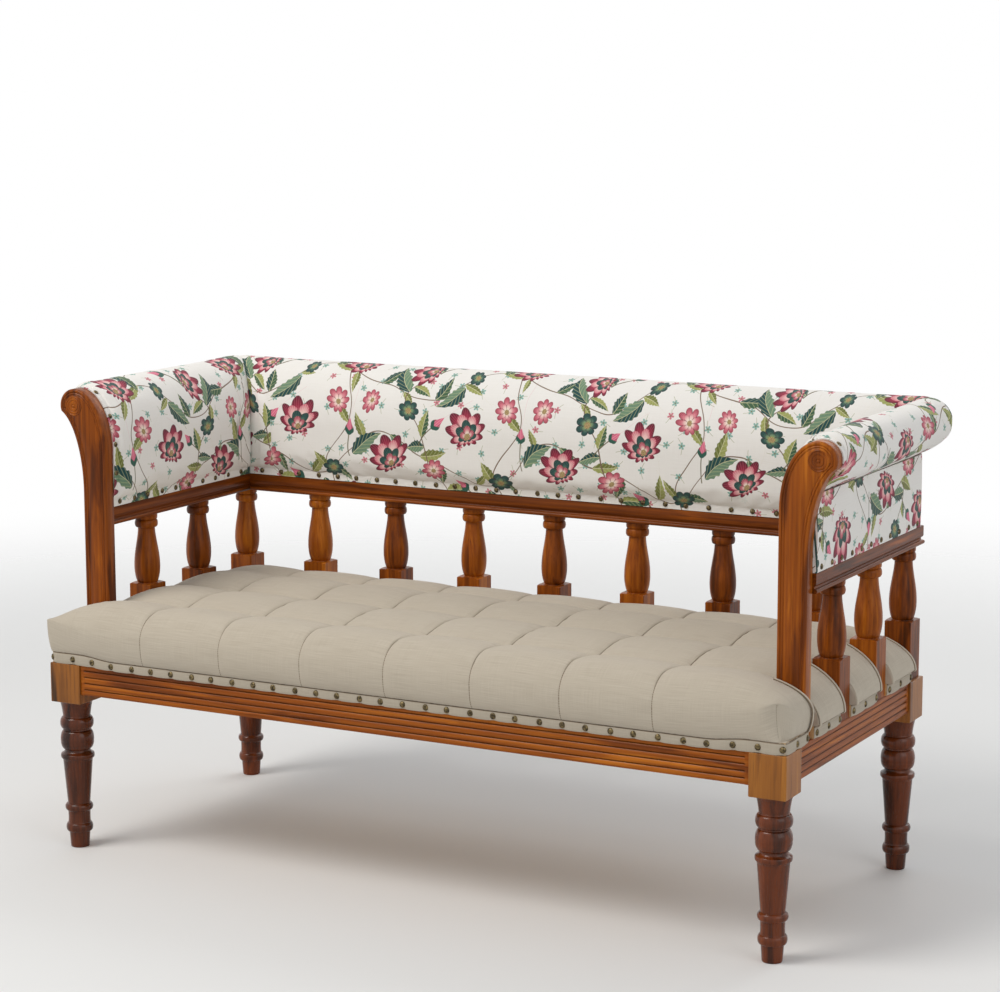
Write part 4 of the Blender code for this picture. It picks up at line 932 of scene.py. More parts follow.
def upright_boxes():
    """Plan boxes round the uprights, open to the outside: low x, high x, low y, high y."""
    half, beyond = BASE_HALF + SOFT_FIT, 1.0
    rows = [(x - half, x + half, UP_Y - half, beyond) for x in BACK_PLACES[1:-1]]
    for side in SIDES.values():
        for near, low, high in [(UP_X - half, y - half, y + half) for y in SIDE_PLACES] + [
                (UP_X - half, UP_Y - half, beyond),
                (UP_X - POST_INNER - SOFT_FIT, POST_FRONT - SOFT_FIT, POST_BACK + SOFT_FIT)]:
            rows.append((*sorted((side * near, side * beyond)), low, high))
    return np.array(rows)


def puff(place, seams, pitch, power):
    """Rise between seams: nought on a seam, one half way to the next and all the way out past the last."""
    away = np.minimum(nearest(place, seams), pitch / 2)
    return np.sin(np.pi * away / pitch) ** power


def seat_grid():
    """Grid lines of the seat: on every seam and notch edge, close beside them, and along the rolled edges."""
    close = np.array([0, 2.5, 5, 7.5, 10]) / 1000
    beside = np.concatenate([-close, close])
    seam = np.array([-9, -4, -1.2, 0, 1.2, 4, 9]) / 1000
    roll = 1 - np.cos(np.linspace(0, np.pi / 2, 14))
    half = BASE_HALF + SOFT_FIT
    side_edges = UP_X - np.array([half, POST_INNER + SOFT_FIT])
    back_edges = (BACK_PLACES[1:-1, None] + [-half, half]).ravel()
    x_edges = np.concatenate([back_edges, side_edges, -side_edges])
    x_marks = np.concatenate([(x_edges[:, None] + beside).ravel(), (SEAMS_X[:, None] + seam).ravel(),
                              SEAT_X - SHOULDER_X * roll, SHOULDER_X * roll - SEAT_X])
    y_edges = np.concatenate([(SIDE_PLACES[:, None] + [-half, half]).ravel(), [UP_Y - half],
                              [POST_FRONT - SOFT_FIT, POST_BACK + SOFT_FIT]])
    y_marks = np.concatenate([(y_edges[:, None] + beside).ravel(), (SEAMS_Y[:, None] + seam).ravel(),
                              SEAT_BACK - SHOULDER_BACK * roll, SEAT_FRONT + SHOULDER_FRONT * roll])
    x_marks = x_marks[np.abs(x_marks) <= SEAT_X + WELD]
    y_marks = y_marks[(y_marks >= SEAT_FRONT - WELD) & (y_marks <= SEAT_BACK + WELD)]
    return graded(x_marks, 0.013), graded(y_marks, 0.013)


def corner_pull(x, y, edge, front, share):
    """How far points move to round the front corners in plan: a square corner becomes a quarter disc."""
    radius = np.where(x < 0, CORNER_LEFT, CORNER_RIGHT) * share
    far_x = np.clip((np.abs(x) - edge) / radius + 1, 0, 1)
    far_y = np.clip((front - y) / radius + 1, 0, 1)
    return (-np.sign(x) * radius * far_x * (1 - np.sqrt(1 - far_y ** 2 / 2)),
            radius * far_y * (1 - np.sqrt(1 - far_x ** 2 / 2)))


def fall_shape(turn):
    """Height of the skirt as a share, by a quarter turn from its rim down to its foot."""
    return (1 - np.cos(turn)) * 0.6 + turn / (np.pi / 2) * 0.4


def seat_sheet(x, y, boxes):
    """Top sheet of the seat over a grid in plan: its points, and shares and distances that the rest needs.

    Height is the level of the fullest line plus a quarter-round shoulder from each side times the crown of
    seams and puffs. Close to an upright the sheet ends in a folded hem, and in front it ends in two tips.
    """
    gap_x = np.maximum(np.maximum(boxes[:, 0] - x[..., None], x[..., None] - boxes[:, 1]), 0)
    gap_y = np.maximum(np.maximum(boxes[:, 2] - y[..., None], y[..., None] - boxes[:, 3]), 0)
    to_wood = np.hypot(gap_x, gap_y).min(-1)
    share_y = round_over(y - SEAT_FRONT, SHOULDER_FRONT) * round_over(SEAT_BACK - y, SHOULDER_BACK)
    share = round_over(SEAT_X - np.abs(x), SHOULDER_X) * share_y
    tip = (np.abs(x) / SEAT_X * np.maximum(y / SEAT_FRONT, 0)) ** 7
    level = EDGE + (FRONT_EDGE - EDGE) * ease(-y, -POST_BACK, -POST_FRONT) + TIP_RISE * tip

    # Puffs and seams; into is how far into its tuft a point lies, from the front
    into = np.mod((y - SEAMS_Y[0]) / TUFT_Y, 1.0) * (y > SEAMS_Y[0])
    taut = ease(into, 0.40, 0.70) * (1 - ease(into, 0.90, 1.0))
    column, row = puff(x, SEAMS_X, TUFT_X, 0.5), puff(y, SEAMS_Y, TUFT_Y, 0.95)
    in_x, in_y = nearest(x, SEAMS_X), nearest(y, SEAMS_Y)
    crease = np.maximum(bell(in_x, 0.002) * (1 - taut), bell(in_y, 0.002) * share)
    height = level + (SEAT_DIP + PUFF_X * column + PUFF_Y * row - 0.0012 * crease - level) * share

    # Hems at the uprights, then the dimple at each front tip
    hem = bell(to_wood - 0.0035, 0.0026) - 0.8 * bell(to_wood - HEM_LINE, 0.0014)
    tuck = 1 - round_over(to_wood, 0.006)
    height += (0.0010 * hem - 0.004 * tuck) * np.sqrt(share)
    to_tip = np.hypot(SEAT_X - np.abs(x), y - SEAT_FRONT)
    height -= 0.0025 * bell(to_tip, 0.005)

    # Seams draw the front in, and the tips are pulled in and rounded
    dent = 0.0028 * (1 - column) * (1 - share_y) ** 2 * (y < 0)
    pull = np.where(x < 0, TIP_PULL_LEFT, -TIP_PULL_RIGHT) * (np.abs(x) / SEAT_X) ** 12
    pull *= np.maximum(y / SEAT_FRONT, 0) ** 4
    corner_x, corner_y = corner_pull(x, y, SEAT_X, SEAT_FRONT, 1.0)
    top = stack(x + pull + corner_x, y + TIP_PULL_Y * tip + dent + corner_y, SEAT_LOW + height)
    return top, pull, share, to_wood, in_x, in_y, into


def rim_of(quads, size):
    """Points on the edges that belong to one quad only, and those edges as pairs of their numbers."""
    edges = np.stack([quads, np.roll(quads, -1, 1)], -1).reshape(-1, 2)
    _, first, counts = np.unique(np.sort(edges, 1) @ [size, 1], return_index=True, return_counts=True)
    used, index = np.unique(edges[first[counts == 1]], return_inverse=True)
    return used, index.reshape(-1, 2)


def seat_skirt(high, base, pull):
    """Rings of the skirt, from the rim of the sheet down to the band and in to the edge of the base."""
    low = base.copy()
    ahead = low[:, 1] < POST_FRONT
    low[ahead, 0] += 0.5 * pull[ahead]
    low[ahead, 2] = BAND_TOP + 0.0004 - band_sag(low[ahead, 0], low[ahead, 1])
    low[ahead] += SKIRT_OUT * np.stack([
        np.sign(low[ahead, 0]) * (np.abs(base[ahead, 0]) > RAIL_X - WELD),
        -1.0 * (low[ahead, 1] < WELD - RAIL_Y), 0 * low[ahead, 0]], -1)
    low[:, :2] += np.stack(corner_pull(low[:, 0], low[:, 1], RAIL_X, -RAIL_Y, CORNER_FOOT), -1)
    turn = np.linspace(np.pi / 2, 0, SKIRT_RINGS - 1)[:, None]
    share = np.stack([np.sin(turn), np.sin(turn), fall_shape(turn)], -1)
    return np.concatenate([low + (high - low) * share, base[None]])


def make_seat():
    """Tufted seat: a crowned sheet, notched round the uprights, with a drawn-in skirt and a flat base."""
    across, along = seat_grid()
    x, y = np.meshgrid(across, along, indexing="ij")
    boxes = upright_boxes()
    top, pull, share, to_wood, in_x, in_y, into = seat_sheet(x, y, boxes)
    rows, columns = x.shape
    quads = lattice(rows, columns)
    middle_x, middle_y = (place.ravel()[quads].mean(1)[:, None] for place in (x, y))
    in_box = ((middle_x > boxes[:, 0]) & (middle_x < boxes[:, 1])
              & (middle_y > boxes[:, 2]) & (middle_y < boxes[:, 3])).any(1)
    quads = quads[~in_box]
    used, rim = rim_of(quads, rows * columns)
    rim_x, rim_y = x.ravel()[used], y.ravel()[used]

    # The sheet, the skirt below its rim, and the base
    points = top.reshape(-1, 3)
    base = stack(np.clip(x.ravel(), -RAIL_X, RAIL_X), np.clip(y.ravel(), -RAIL_Y, RAIL_Y), SEAT_LOW)
    skirt = seat_skirt(points[used], base[used], pull.ravel()[used])
    start = len(points)
    ring = start + np.arange(SKIRT_RINGS)[:, None, None] * len(used)
    one, two = rim[:, :1], rim[:, 1:]
    walls = np.concatenate([ring[:-1] + one, ring[:-1] + two, ring[1:] + two, ring[1:] + one], -1)
    under = start + SKIRT_RINGS * len(used)
    every = np.concatenate([points, skirt.reshape(-1, 3), base])
    faces = np.concatenate([quads, walls.reshape(-1, 4), under + quads[:, ::-1]])

    # Metres of cloth
    flat_y = running(np.hypot(np.diff(along), np.diff(top[rows // 2 + 4, :, 2])))
    flat_y -= np.interp(0, along, flat_y)
    flat = stack(across[:, None], flat_y).reshape(-1, 2)
    fall = running(np.linalg.norm(np.diff(skirt, axis=0), axis=-1))
    on_y = (rim_y < SEAT_FRONT + WELD) | (rim_y > SEAT_BACK - WELD)
    on_x = (np.abs(rim_x) > SEAT_X - WELD) & ~on_y
    skirt_flat = flat[used] + stack(fall * on_x * np.sign(rim_x), fall * on_y * np.sign(rim_y))
    every_flat = np.concatenate([flat, skirt_flat.reshape(-1, 2), flat])

    # Stitches and painted shade: the seams, the hems and the dart of the right corner, with a dark spot of
    # painted shade in the dimple at the right tip; a front-to-back seam's line is stitching and also painted
    # shade of its crease, and fades over the back of each tuft with the crease
    shown = 1 - ease(into, 0.45, 0.70)
    seams = np.maximum(bell(in_x, STITCH) * shown, bell(in_y, STITCH) * (share > 0.3)) * (to_wood > 0.012)
    # Painted shade: a dark spot in the dimple at the right front tip
    dimple_shade = bell(np.hypot(SEAT_X - x, y - SEAT_FRONT), 0.003)
    on_top = np.maximum(np.maximum(seams, bell(to_wood - HEM_LINE, 0.0009)), dimple_shade)
    front = on_y & (rim_y < 0)
    at_corner = (np.abs(rim_x) > SEAT_X - 0.0015) & front
    on_skirt = np.where(front, np.maximum(bell(in_x.ravel()[used], STITCH), 0.64 * at_corner), 0)
    along_top = np.where(in_x < in_y, np.broadcast_to(flat_y, x.shape), x).ravel()
    held = (np.minimum(in_x, in_y) < 0.0012) | (to_wood < 0.011) | (share < 0.03)
    none = np.zeros(len(base))
    marks = {"stitch": [on_top.ravel(), np.tile(on_skirt, SKIRT_RINGS), none],
             "stitch_along": [along_top, (along_top[used] + fall).ravel(), none],
             "pin": [held.ravel(), np.ones(SKIRT_RINGS * len(used)), none + 1]}
    keep = np.unique(faces)
    index = np.zeros(len(every), int)
    index[keep] = np.arange(len(keep))
    marks = {key: np.concatenate(parts)[keep] for key, parts in marks.items()}
    made = piece("seat_cushion_tufted", every[keep], index[faces], LINEN, "linen", ["seat_cushion"],
                 flat=every_flat[keep], crease=60, marks=marks)
    settle(made, SEAT_PRESSURE, SEAT_SLACK, SEAT_MOVE)
    make_hems(across, along, top[..., 2])


def hem_paths(steps):
    """Places along each hem from the notch's inner end outward, and which way the sheet lies from it."""
    half, post_half = BASE_HALF + SOFT_FIT, POST_INNER + SOFT_FIT
    run = np.linspace(1, 0, steps) ** 2
    none = np.zeros(steps)
    edges = [(y + way * half, way, UP_X - half) for y in SIDE_PLACES for way in (-1, 1)] + [
        (UP_Y - half, -1, UP_X - half), (POST_FRONT - SOFT_FIT, -1, UP_X - post_half),
        (POST_BACK + SOFT_FIT, 1, UP_X - post_half)]
    paths = []
    for side in SIDES.values():
        for edge, way, near in edges:
            x = side * (SEAT_X - (SEAT_X - near) * run)
            paths.append((x, none + edge + way * HEM_IN, none, none + way))
    for x in BACK_PLACES[1:-1]:
        for way in (-1, 1):
            y = SEAT_BACK - (SEAT_BACK - UP_Y + half) * run
            paths.append((none + x + way * (half + HEM_IN), y, none + way, none))
    return [np.stack(parts) for parts in zip(*paths)]


def make_hems(across, along, level):
    """Folded edges of the seat beside the uprights: a half-round strip along each notch, and down the skirt.

    across and along are the grid lines of the seat and level is its height over them.
    """
    steps, drop, around = 22, 6, 12
    x, y, out_x, out_y = hem_paths(steps)
    at_x, at_y = np.interp(x, across, np.arange(len(across))), np.interp(y, along, np.arange(len(along)))
    low_x = np.minimum(at_x.astype(int), len(across) - 2)
    low_y = np.minimum(at_y.astype(int), len(along) - 2)
    part_x, part_y = at_x - low_x, at_y - low_y
    z = (level[low_x, low_y] * (1 - part_x) * (1 - part_y) + level[low_x + 1, low_y] * part_x * (1 - part_y)
         + level[low_x, low_y + 1] * (1 - part_x) * part_y + level[low_x + 1, low_y + 1] * part_x * part_y)
    centre = stack(x, y, z)
    rim = centre[:, -1:]
    reach = RAIL_X + SKIRT_OUT
    foot = stack(np.clip(rim[..., 0], -reach, reach), np.minimum(rim[..., 1], RAIL_Y + SKIRT_OUT), BAND_TOP)
    turn = np.linspace(np.pi / 2, 0, drop + 1)[1:, None]
    share = np.concatenate([np.sin(turn), np.sin(turn), fall_shape(turn)], 1)
    centre = np.concatenate([centre, foot + (rim - foot) * share], 1)
    tangent = np.gradient(centre, axis=1)
    rows = steps + drop
    sideways = np.repeat(stack(out_x, out_y, 0 * out_x)[:, :1], rows, 1)
    normal = np.cross(tangent, sideways)
    normal *= np.sign(normal[:, :1, 2:]) / np.linalg.norm(normal, axis=-1, keepdims=True)
    turn = np.linspace(0, 2 * np.pi, around, endpoint=False)
    wide, tall = HEM_WIDE * np.cos(turn), HEM_TALL * np.sin(turn) + 0.0003
    points = centre[:, :, None] + wide[:, None] * sideways[:, :, None] + tall[:, None] * normal[:, :, None]
    start = np.arange(len(x))[:, None, None] * (rows * around)
    rims = np.concatenate([start[:, 0] + end for end in ends(rows, around)])
    run = np.cumsum(np.linalg.norm(tangent, axis=-1), 1)[..., None]
    # Painted shade: a dark line along the side of each hem towards the sheet, in the crease between them
    edge = np.broadcast_to(np.cos(turn) > 0.8, points.shape[:-1])
    faces = (start + lattice(rows, around, True)).reshape(-1, 4)
    piece("seat_hems", points, faces, LINEN, "linen", rims=rims,
          flat=stack(run, wide + 0 * run), crease=70, marks=shade_line_marks(edge))


def shade_line_marks(drawn):
    """Marks of a strip with one dark line of painted shade where drawn is true, unbroken by stitches."""
    return {"stitch": drawn * 1.0, "stitch_along": np.full(drawn.shape, 0.001)}


def band_sag(x, y):
    """How far the band hangs below its level: along the front between the leg blocks, and nowhere else."""
    return BAND_SAG * ease(LEG_X - BLOCK_HALF - np.abs(x), 0, 0.075) * (y < -0.30)


def strip_path(corners, radius):
    """A path through corners in plan with rounded turns, cut finely, with its outward normals."""
    corners = np.asarray(corners, float)
    parts = [corners[:1]]
    for before, at, after in zip(corners, corners[1:], corners[2:]):
        one, two = (before - at) / np.linalg.norm(before - at), (after - at) / np.linalg.norm(after - at)
        turn = np.linspace(0, np.pi / 2, 7)[:, None]
        parts.append(at + radius * ((1 - np.sin(turn)) * one + (1 - np.cos(turn)) * two))
    line = np.concatenate(parts + [corners[-1:]])
    run = running(np.linalg.norm(np.diff(line, axis=0), axis=1))
    cut = graded(run, 0.006)
    line = np.stack([np.interp(cut, run, line[:, 0]), np.interp(cut, run, line[:, 1])], -1)
    tangent = np.gradient(line, cut, axis=0)
    tangent /= np.linalg.norm(tangent, axis=1)[:, None]
    return cut, line, np.stack([tangent[:, 1], -tangent[:, 0]], -1)


def nails_along(length, margin):
    """Nail places along a strip, near the usual pitch and a little uneven, with a margin at each end."""
    count = max(2, int(round((length - 2 * margin) / NAIL_PITCH)) + 1)
    inner = (np.arange(count) > 0) & (np.arange(count) < count - 1)
    return np.linspace(margin, length - margin, count) + 0.0014 * np.sin(2.3 * np.arange(count)) * inner


def make_band(name, corners, nails):
    """Folded strip of linen on the edge of the board: flat, with rounded edges, and drawn in at each nail."""
    run, line, out = strip_path(corners, 0.007)
    at = nails_along(run[-1], 0.008)
    drawn = bell(nearest(run, at), 0.007)
    end = round_over(np.minimum(run, run[-1] - run), 0.004)
    turn = np.linspace(-np.pi / 2, np.pi / 2, 9)
    thick = BAND_THICK * (1 - 0.30 * drawn[:, None]) * (0.35 + 0.65 * end[:, None])
    proud = np.concatenate([thick * np.cos(turn) ** 0.35, np.zeros((len(run), 2))], 1)
    sag = band_sag(line[:, 0], line[:, 1])
    low, high = BAND_LOW - 0.0012 * (1 - drawn) * end - 0.45 * sag, BAND_TOP - sag
    rise_by = np.concatenate([(np.sin(turn) + 1) / 2, [1, 0]])
    level = low[:, None] + (high - low)[:, None] * rise_by
    place = line[:, None, :] + proud[..., None] * out[:, None, :]
    points = np.concatenate([place, level[..., None]], -1)
    # Painted shade: a dark line along the top edge of the band, in the gap under the seat
    top_gap_shade = np.broadcast_to(np.isin(np.arange(level.shape[1]), (7, 8)), level.shape)
    # The whole band is darkened as painted shade from the seat above it
    marks = {**shade_line_marks(top_gap_shade), "dim": np.full(level.shape, BAND_SHADE)}
    tube(name + "_strip", points, LINEN, "linen", [name], flat=stack(run[:, None], level), marks=marks)
    spot = np.stack([np.interp(at, run, line[:, k]) for k in (0, 1)], -1)
    facing = np.stack([np.interp(at, run, out[:, k]) for k in (0, 1)], -1)
    face = spot + facing * BAND_THICK * 0.68
    middle = (BAND_LOW + BAND_TOP) / 2 - 0.0005 - 0.7 * band_sag(spot[:, 0], spot[:, 1])
    nails.append((np.column_stack([face, middle]), np.column_stack([facing, np.zeros(len(at))])))


def make_bands():
    """One strip round the front, one between each two uprights at the sides and the back."""
    nails = []
    edge_x, edge_y = RAIL_X + FIT, RAIL_Y + FIT
    half = BASE_HALF + FIT
    stop = POST_FRONT - FIT
    corners = [(-edge_x, stop), (-edge_x, -edge_y), (edge_x, -edge_y), (edge_x, stop)]
    make_band("seat_band_front", corners, nails)
    stops = [POST_BACK + FIT, *(SIDE_PLACES[::-1, None] + [-half, half]).ravel(), UP_Y - half]
    for name, side in SIDES.items():
        for k in range(0, len(stops), 2):
            low, high = (stops[k], stops[k + 1])[::side]
            make_band(f"seat_band_{name}_{k // 2 + 1}", [(side * edge_x, low), (side * edge_x, high)], nails)
    for k, (near, far) in enumerate(zip(BACK_PLACES, BACK_PLACES[1:])):
        make_band(f"seat_band_back_{k + 1}", [(far - half, edge_y), (near + half, edge_y)], nails)
    return nails


def make_nails(name, nails, size):
    """Domed nail heads of one size: rings of a flattened ball about each place, facing along its normal."""
    places = np.concatenate([place for place, _ in nails])
    normal = np.concatenate([facing for _, facing in nails])
    normal /= np.linalg.norm(normal, axis=1)[:, None]
    helper = np.where(np.abs(normal[:, 2:]) < 0.7, [[0, 0, 1.0]], [[1.0, 0, 0]])
    right = np.cross(normal, helper)
    right /= np.linalg.norm(right, axis=1)[:, None]
    up = np.cross(normal, right)
    tilt, sides = np.radians([0, 25, 50, 72, 90]), 10
    radius = np.append(size * 0.9, size * np.cos(tilt))[:, None, None]
    proud = np.append(-0.0012, size / 2 * np.sin(tilt))[:, None, None]
    angle = np.linspace(0, 2 * np.pi, sides, endpoint=False)[:, None]
    way = np.cos(angle) * right[:, None, None] + np.sin(angle) * up[:, None, None]
    points = places[:, None, None] + radius * way + proud * normal[:, None, None]
    start = np.arange(len(places))[:, None] * (len(radius) * sides)
    faces = (start[..., None] + lattice(len(radius), sides, True)).reshape(-1, 4)
    rims = start + np.arange(sides)
    piece(name, points, faces, BRASS, "antique_brass", rims=rims, crease=60)


# Covers of the back and arms

def pad_outline(face, radius):
    """Rolled cover, for many sections at once: nailed margin, swelling face, roll to the fold, then back.

    Returns the distance across, the height, and how many points of a section show.
    """
    count, steps, core_steps = len(face), 30, 8
    top = COVER_LOW + MARGIN
    low = np.concatenate([COVER_LOW + MARGIN * np.linspace(0, 1, 6),
                          top + (SPRING - top) * np.linspace(0, 1, 21)[1:-1] ** 1.5, [SPRING - 0.004]])
    strip = PAD_STRIP + (face[:, None] - PAD_STRIP) * round_over(low - COVER_LOW - MARGIN, 0.036)
    keep = 2 * steps + 6
    roll_across, roll_up = (part[:, :keep] for part in scroll(face, PANEL_OUT, radius, PAD_END, steps))
    step = np.linspace(0, 1, 9)[1:]
    fold_across = roll_across[:, -1:] + (PANEL_FACE - roll_across[:, -1:]) * step
    fold_up = roll_up[:, -1:] + (FOLD + FOLD_GAP - roll_up[:, -1:]) * step
    core_across, core_up = scroll(
        CORE_INNER + CORE_GAP, CORE_OUTER + CORE_GAP, CORE_RADIUS + CORE_GAP, WOOD_END, core_steps)
    above = (np.arange(len(core_up)) < 2 * core_steps + 6) | (core_up > FOLD + 0.006)
    inner = np.append(core_across[above][::-1], -CORE_INNER - CORE_GAP)
    inner_up = np.append(core_up[above][::-1], COVER_LOW)
    across = [-strip, roll_across, fold_across, np.tile(inner, (count, 1))]
    up = [np.tile(low, (count, 1)), roll_up, fold_up, np.tile(inner_up, (count, 1))]
    return np.concatenate(across, 1), np.concatenate(up, 1), len(low) + keep + len(step)


def panel_outline(count):
    """Flat outside panel: a slightly pillowed face from the fold down to the mid rail, and back inside."""
    shown, hidden, top = 24, 6, FOLD - FOLD_GAP
    pillow = PANEL_FACE + 0.0010 * np.sin(np.pi * np.linspace(0, 1, shown)) ** 0.6
    behind = np.linspace(COVER_LOW, top, hidden)
    across = np.append(pillow, np.interp(behind, [NECK, FOLD], [CORE_OUTER + CORE_GAP, 0.012]))
    up = np.append(np.linspace(top, COVER_LOW, shown), behind)
    return np.tile(across, (count, 1)), np.tile(up, (count, 1)), shown


def turn_corner(across, turn, line, corner):
    """Sections swung round a back corner: on arcs outside the pivot, closing up to the mitre inside it."""
    reach = across - PIVOT
    out = np.where(reach >= 0, reach * np.cos(turn), reach)
    on = np.where(reach >= 0, reach * np.sin(turn), reach + (reach - PIVOT) * (1 - turn / (np.pi / 4)))
    return line + PIVOT + out, corner + PIVOT + on


def half_cover(start, corner, line, outline, from_front):
    """Rings of a cover from start along its straight part and round the corner to the mitre.

    Returns the distance out and along, the height, the metres of cloth along and up, and how many points of
    a section show.
    """
    finish_at = corner - STRAIGHT_END
    near = np.zeros(1)
    if from_front:
        near = POST_MARGIN + np.array([-12, -8, -4, 0, 0.5, 1.5, 3, 5, 8, 11, 15]) / 1000
    straight = graded([*(start + near), finish_at], 0.0075)
    turns = np.radians(np.linspace(0, 45, 14))
    to_mitre = np.concatenate([corner - straight, STRAIGHT_END * (1 - turns / turns[-1])])
    gone = np.concatenate([straight - start, np.full(len(turns), finish_at - start)])
    across, up, shown = outline(to_mitre, gone if from_front else np.full(len(gone), 1.0), gone)
    count = len(straight)
    swung_out, swung_on = turn_corner(across[count:], turns[:, None], line, corner)
    out = np.concatenate([line + across[:count], swung_out])
    on = np.concatenate([np.broadcast_to(straight[:, None], across[:count].shape), swung_on])
    on -= FIT * (to_mitre <= 0)[:, None]
    long = np.sqrt(np.diff(out, axis=0) ** 2 + np.diff(on, axis=0) ** 2 + np.diff(up, axis=0) ** 2)
    tall = np.hypot(np.diff(across, axis=1), np.diff(up, axis=1))
    return out, on, up, start + running(long), running(tall.T).T, shown


def padded_outline(length):
    """Outline of the padding along a cover: crowned at mid length, drawn in at the post and at the mitre."""
    def outline(to_mitre, gone, along):
        crown = PAD_SWELL * np.sin(np.pi * np.clip(along / length, 0, 1))
        at_post = round_over(gone - POST_MARGIN, 0.022)
        at_mitre = 0.0050 * np.exp(-to_mitre / 0.014)
        face = EDGE_FACE + (PAD_FACE + crown - EDGE_FACE) * at_post - at_mitre
        radius = EDGE_RADIUS + (PAD_RADIUS - EDGE_RADIUS) * at_post - at_mitre * 0.25
        return pad_outline(face, radius)
    return outline


def flat_outline(_to_mitre, _gone, along):
    """Outline of an outside panel, the same all along."""
    return panel_outline(len(along))


def make_cover(name, node, outline, print_at):
    """A cover of the back: half of it from the middle to the right mitre, and the same to the left."""
    out, on, up, cloth, tall, shown = half_cover(0.0, UP_X, UP_Y, outline, False)
    out, up, tall = (np.concatenate([part[:0:-1], part]) for part in (out, up, tall))
    on, cloth = (np.concatenate([-part[:0:-1], part]) for part in (on, cloth))
    flat = stack(cloth + print_at[0], tall + print_at[1])
    finish_cover(name, node, stack(on, out, up), flat, on[:, 0], shown)


def make_arm_cover(name, node, side, outline, print_at):
    """A cover of an arm, from the post to the mitre."""
    out, on, up, cloth, tall, shown = half_cover(POST_BACK + SOFT_FIT, UP_Y, UP_X, outline, True)
    flat = stack(cloth * side + print_at[0], tall + print_at[1])
    finish_cover(name, node, stack(side * out, on, up), flat, on[:, 0], shown)


def finish_cover(name, node, points, flat, along, shown):
    """Closes a cover and pins its cloth: behind the fold, at the lower edge, the nails and both ends."""
    rows, columns = points.shape[:2]
    up = points[..., 2]
    at_nail = (nearest(along, cover_nail_places(name))[:, None] < 0.005) & (np.abs(up - NAIL_LEVEL) < 0.005)
    at_end = np.minimum(np.arange(rows), rows - 1 - np.arange(rows)) < 6
    held = at_nail | at_end[:, None] | (up < COVER_LOW + 0.004) | (np.arange(columns) > shown - 2)
    marks = {"pin": held * 1.0}
    made = tube(name, points, FLORAL, "floral_cotton", [node], flat=flat, crease=55, marks=marks)
    if "pad" in name:
        settle(made, PAD_PRESSURE, PAD_SLACK, PAD_MOVE)


def make_covers():
    """Rolled covers and flat outside panels of the back and the two arms."""
    arm = padded_outline(UP_Y - POST_BACK)
    back = padded_outline(UP_X * 2)

    def back_outline(to_mitre, gone, along):
        return back(to_mitre, gone, along + UP_X)

    make_cover("back_pad_cover", "back_pad", back_outline, (0.031, 0.020))
    make_cover("back_panel_cover", "back_panel", flat_outline, (0.52, 0.31))
    for name, side in SIDES.items():
        pad, panel = f"arm_pad_{name}", f"arm_panel_{name}"
        make_arm_cover(pad + "_cover", pad, side, arm, (1.37 + 0.8 * side, 0.047))
        make_arm_cover(panel + "_cover", panel, side, flat_outline, (2.9 + 0.7 * side, 0.36))


def cover_nail_places(name):
    """Places of the lower nails along a cover, by its name: along x on the back and along y on an arm."""
    if "back" in name:
        short, margin = (0.050, 0.006) if "pad" in name else (0.0, 0.012)
        return nails_along(2 * (UP_X - short), margin) - UP_X + short
    return POST_BACK + nails_along(UP_Y - POST_BACK + (-0.040 if "pad" in name else 0.010), 0.020)


def cover_nails():
    """Nail rows along the lower edges of the covers, inside and outside, and beside the posts."""
    nails = []
    rows = {"pad": -PAD_STRIP - 0.0008, "panel": PANEL_OUT + 0.0010}
    for cover, offset in rows.items():
        x = cover_nail_places("back_" + cover)
        nails.append((stack(x, UP_Y + offset, NAIL_LEVEL), stack(0 * x, np.sign(offset), 0)))
    across, up, shown = pad_outline(np.array([EDGE_FACE]), np.array([EDGE_RADIUS]))
    across, up = across[0, :shown], up[0, :shown]
    run = running(np.hypot(np.diff(across), np.diff(up)))
    first, margin, pitch = 0.062, 0.020, 0.052
    at = np.arange(first, run[-1] - margin, pitch)
    spot_across, spot_up = np.interp(at, run, across), np.interp(at, run, up)
    lean_across = np.interp(at, run, -np.gradient(up, run))
    lean_up = np.interp(at, run, np.gradient(across, run))
    for side in SIDES.values():
        for cover, offset in rows.items():
            y = cover_nail_places("arm_" + cover)
            facing = stack(side * np.sign(offset), 0 * y, 0)
            nails.append((stack(side * (UP_X + offset), y, NAIL_LEVEL), facing))
        nails.append((stack(side * (UP_X + spot_across), POST_BACK + SOFT_FIT + 0.006, spot_up),
                      stack(side * lean_across, 0 * at, lean_up)))
        height = np.array([0.665, 0.712])
        facing = stack(side + 0 * height, 0, 0)
        nails.append((stack(side * (UP_X + rows["panel"]), POST_BACK + 0.010, height), facing))
    return nails


# Stage, light and camera

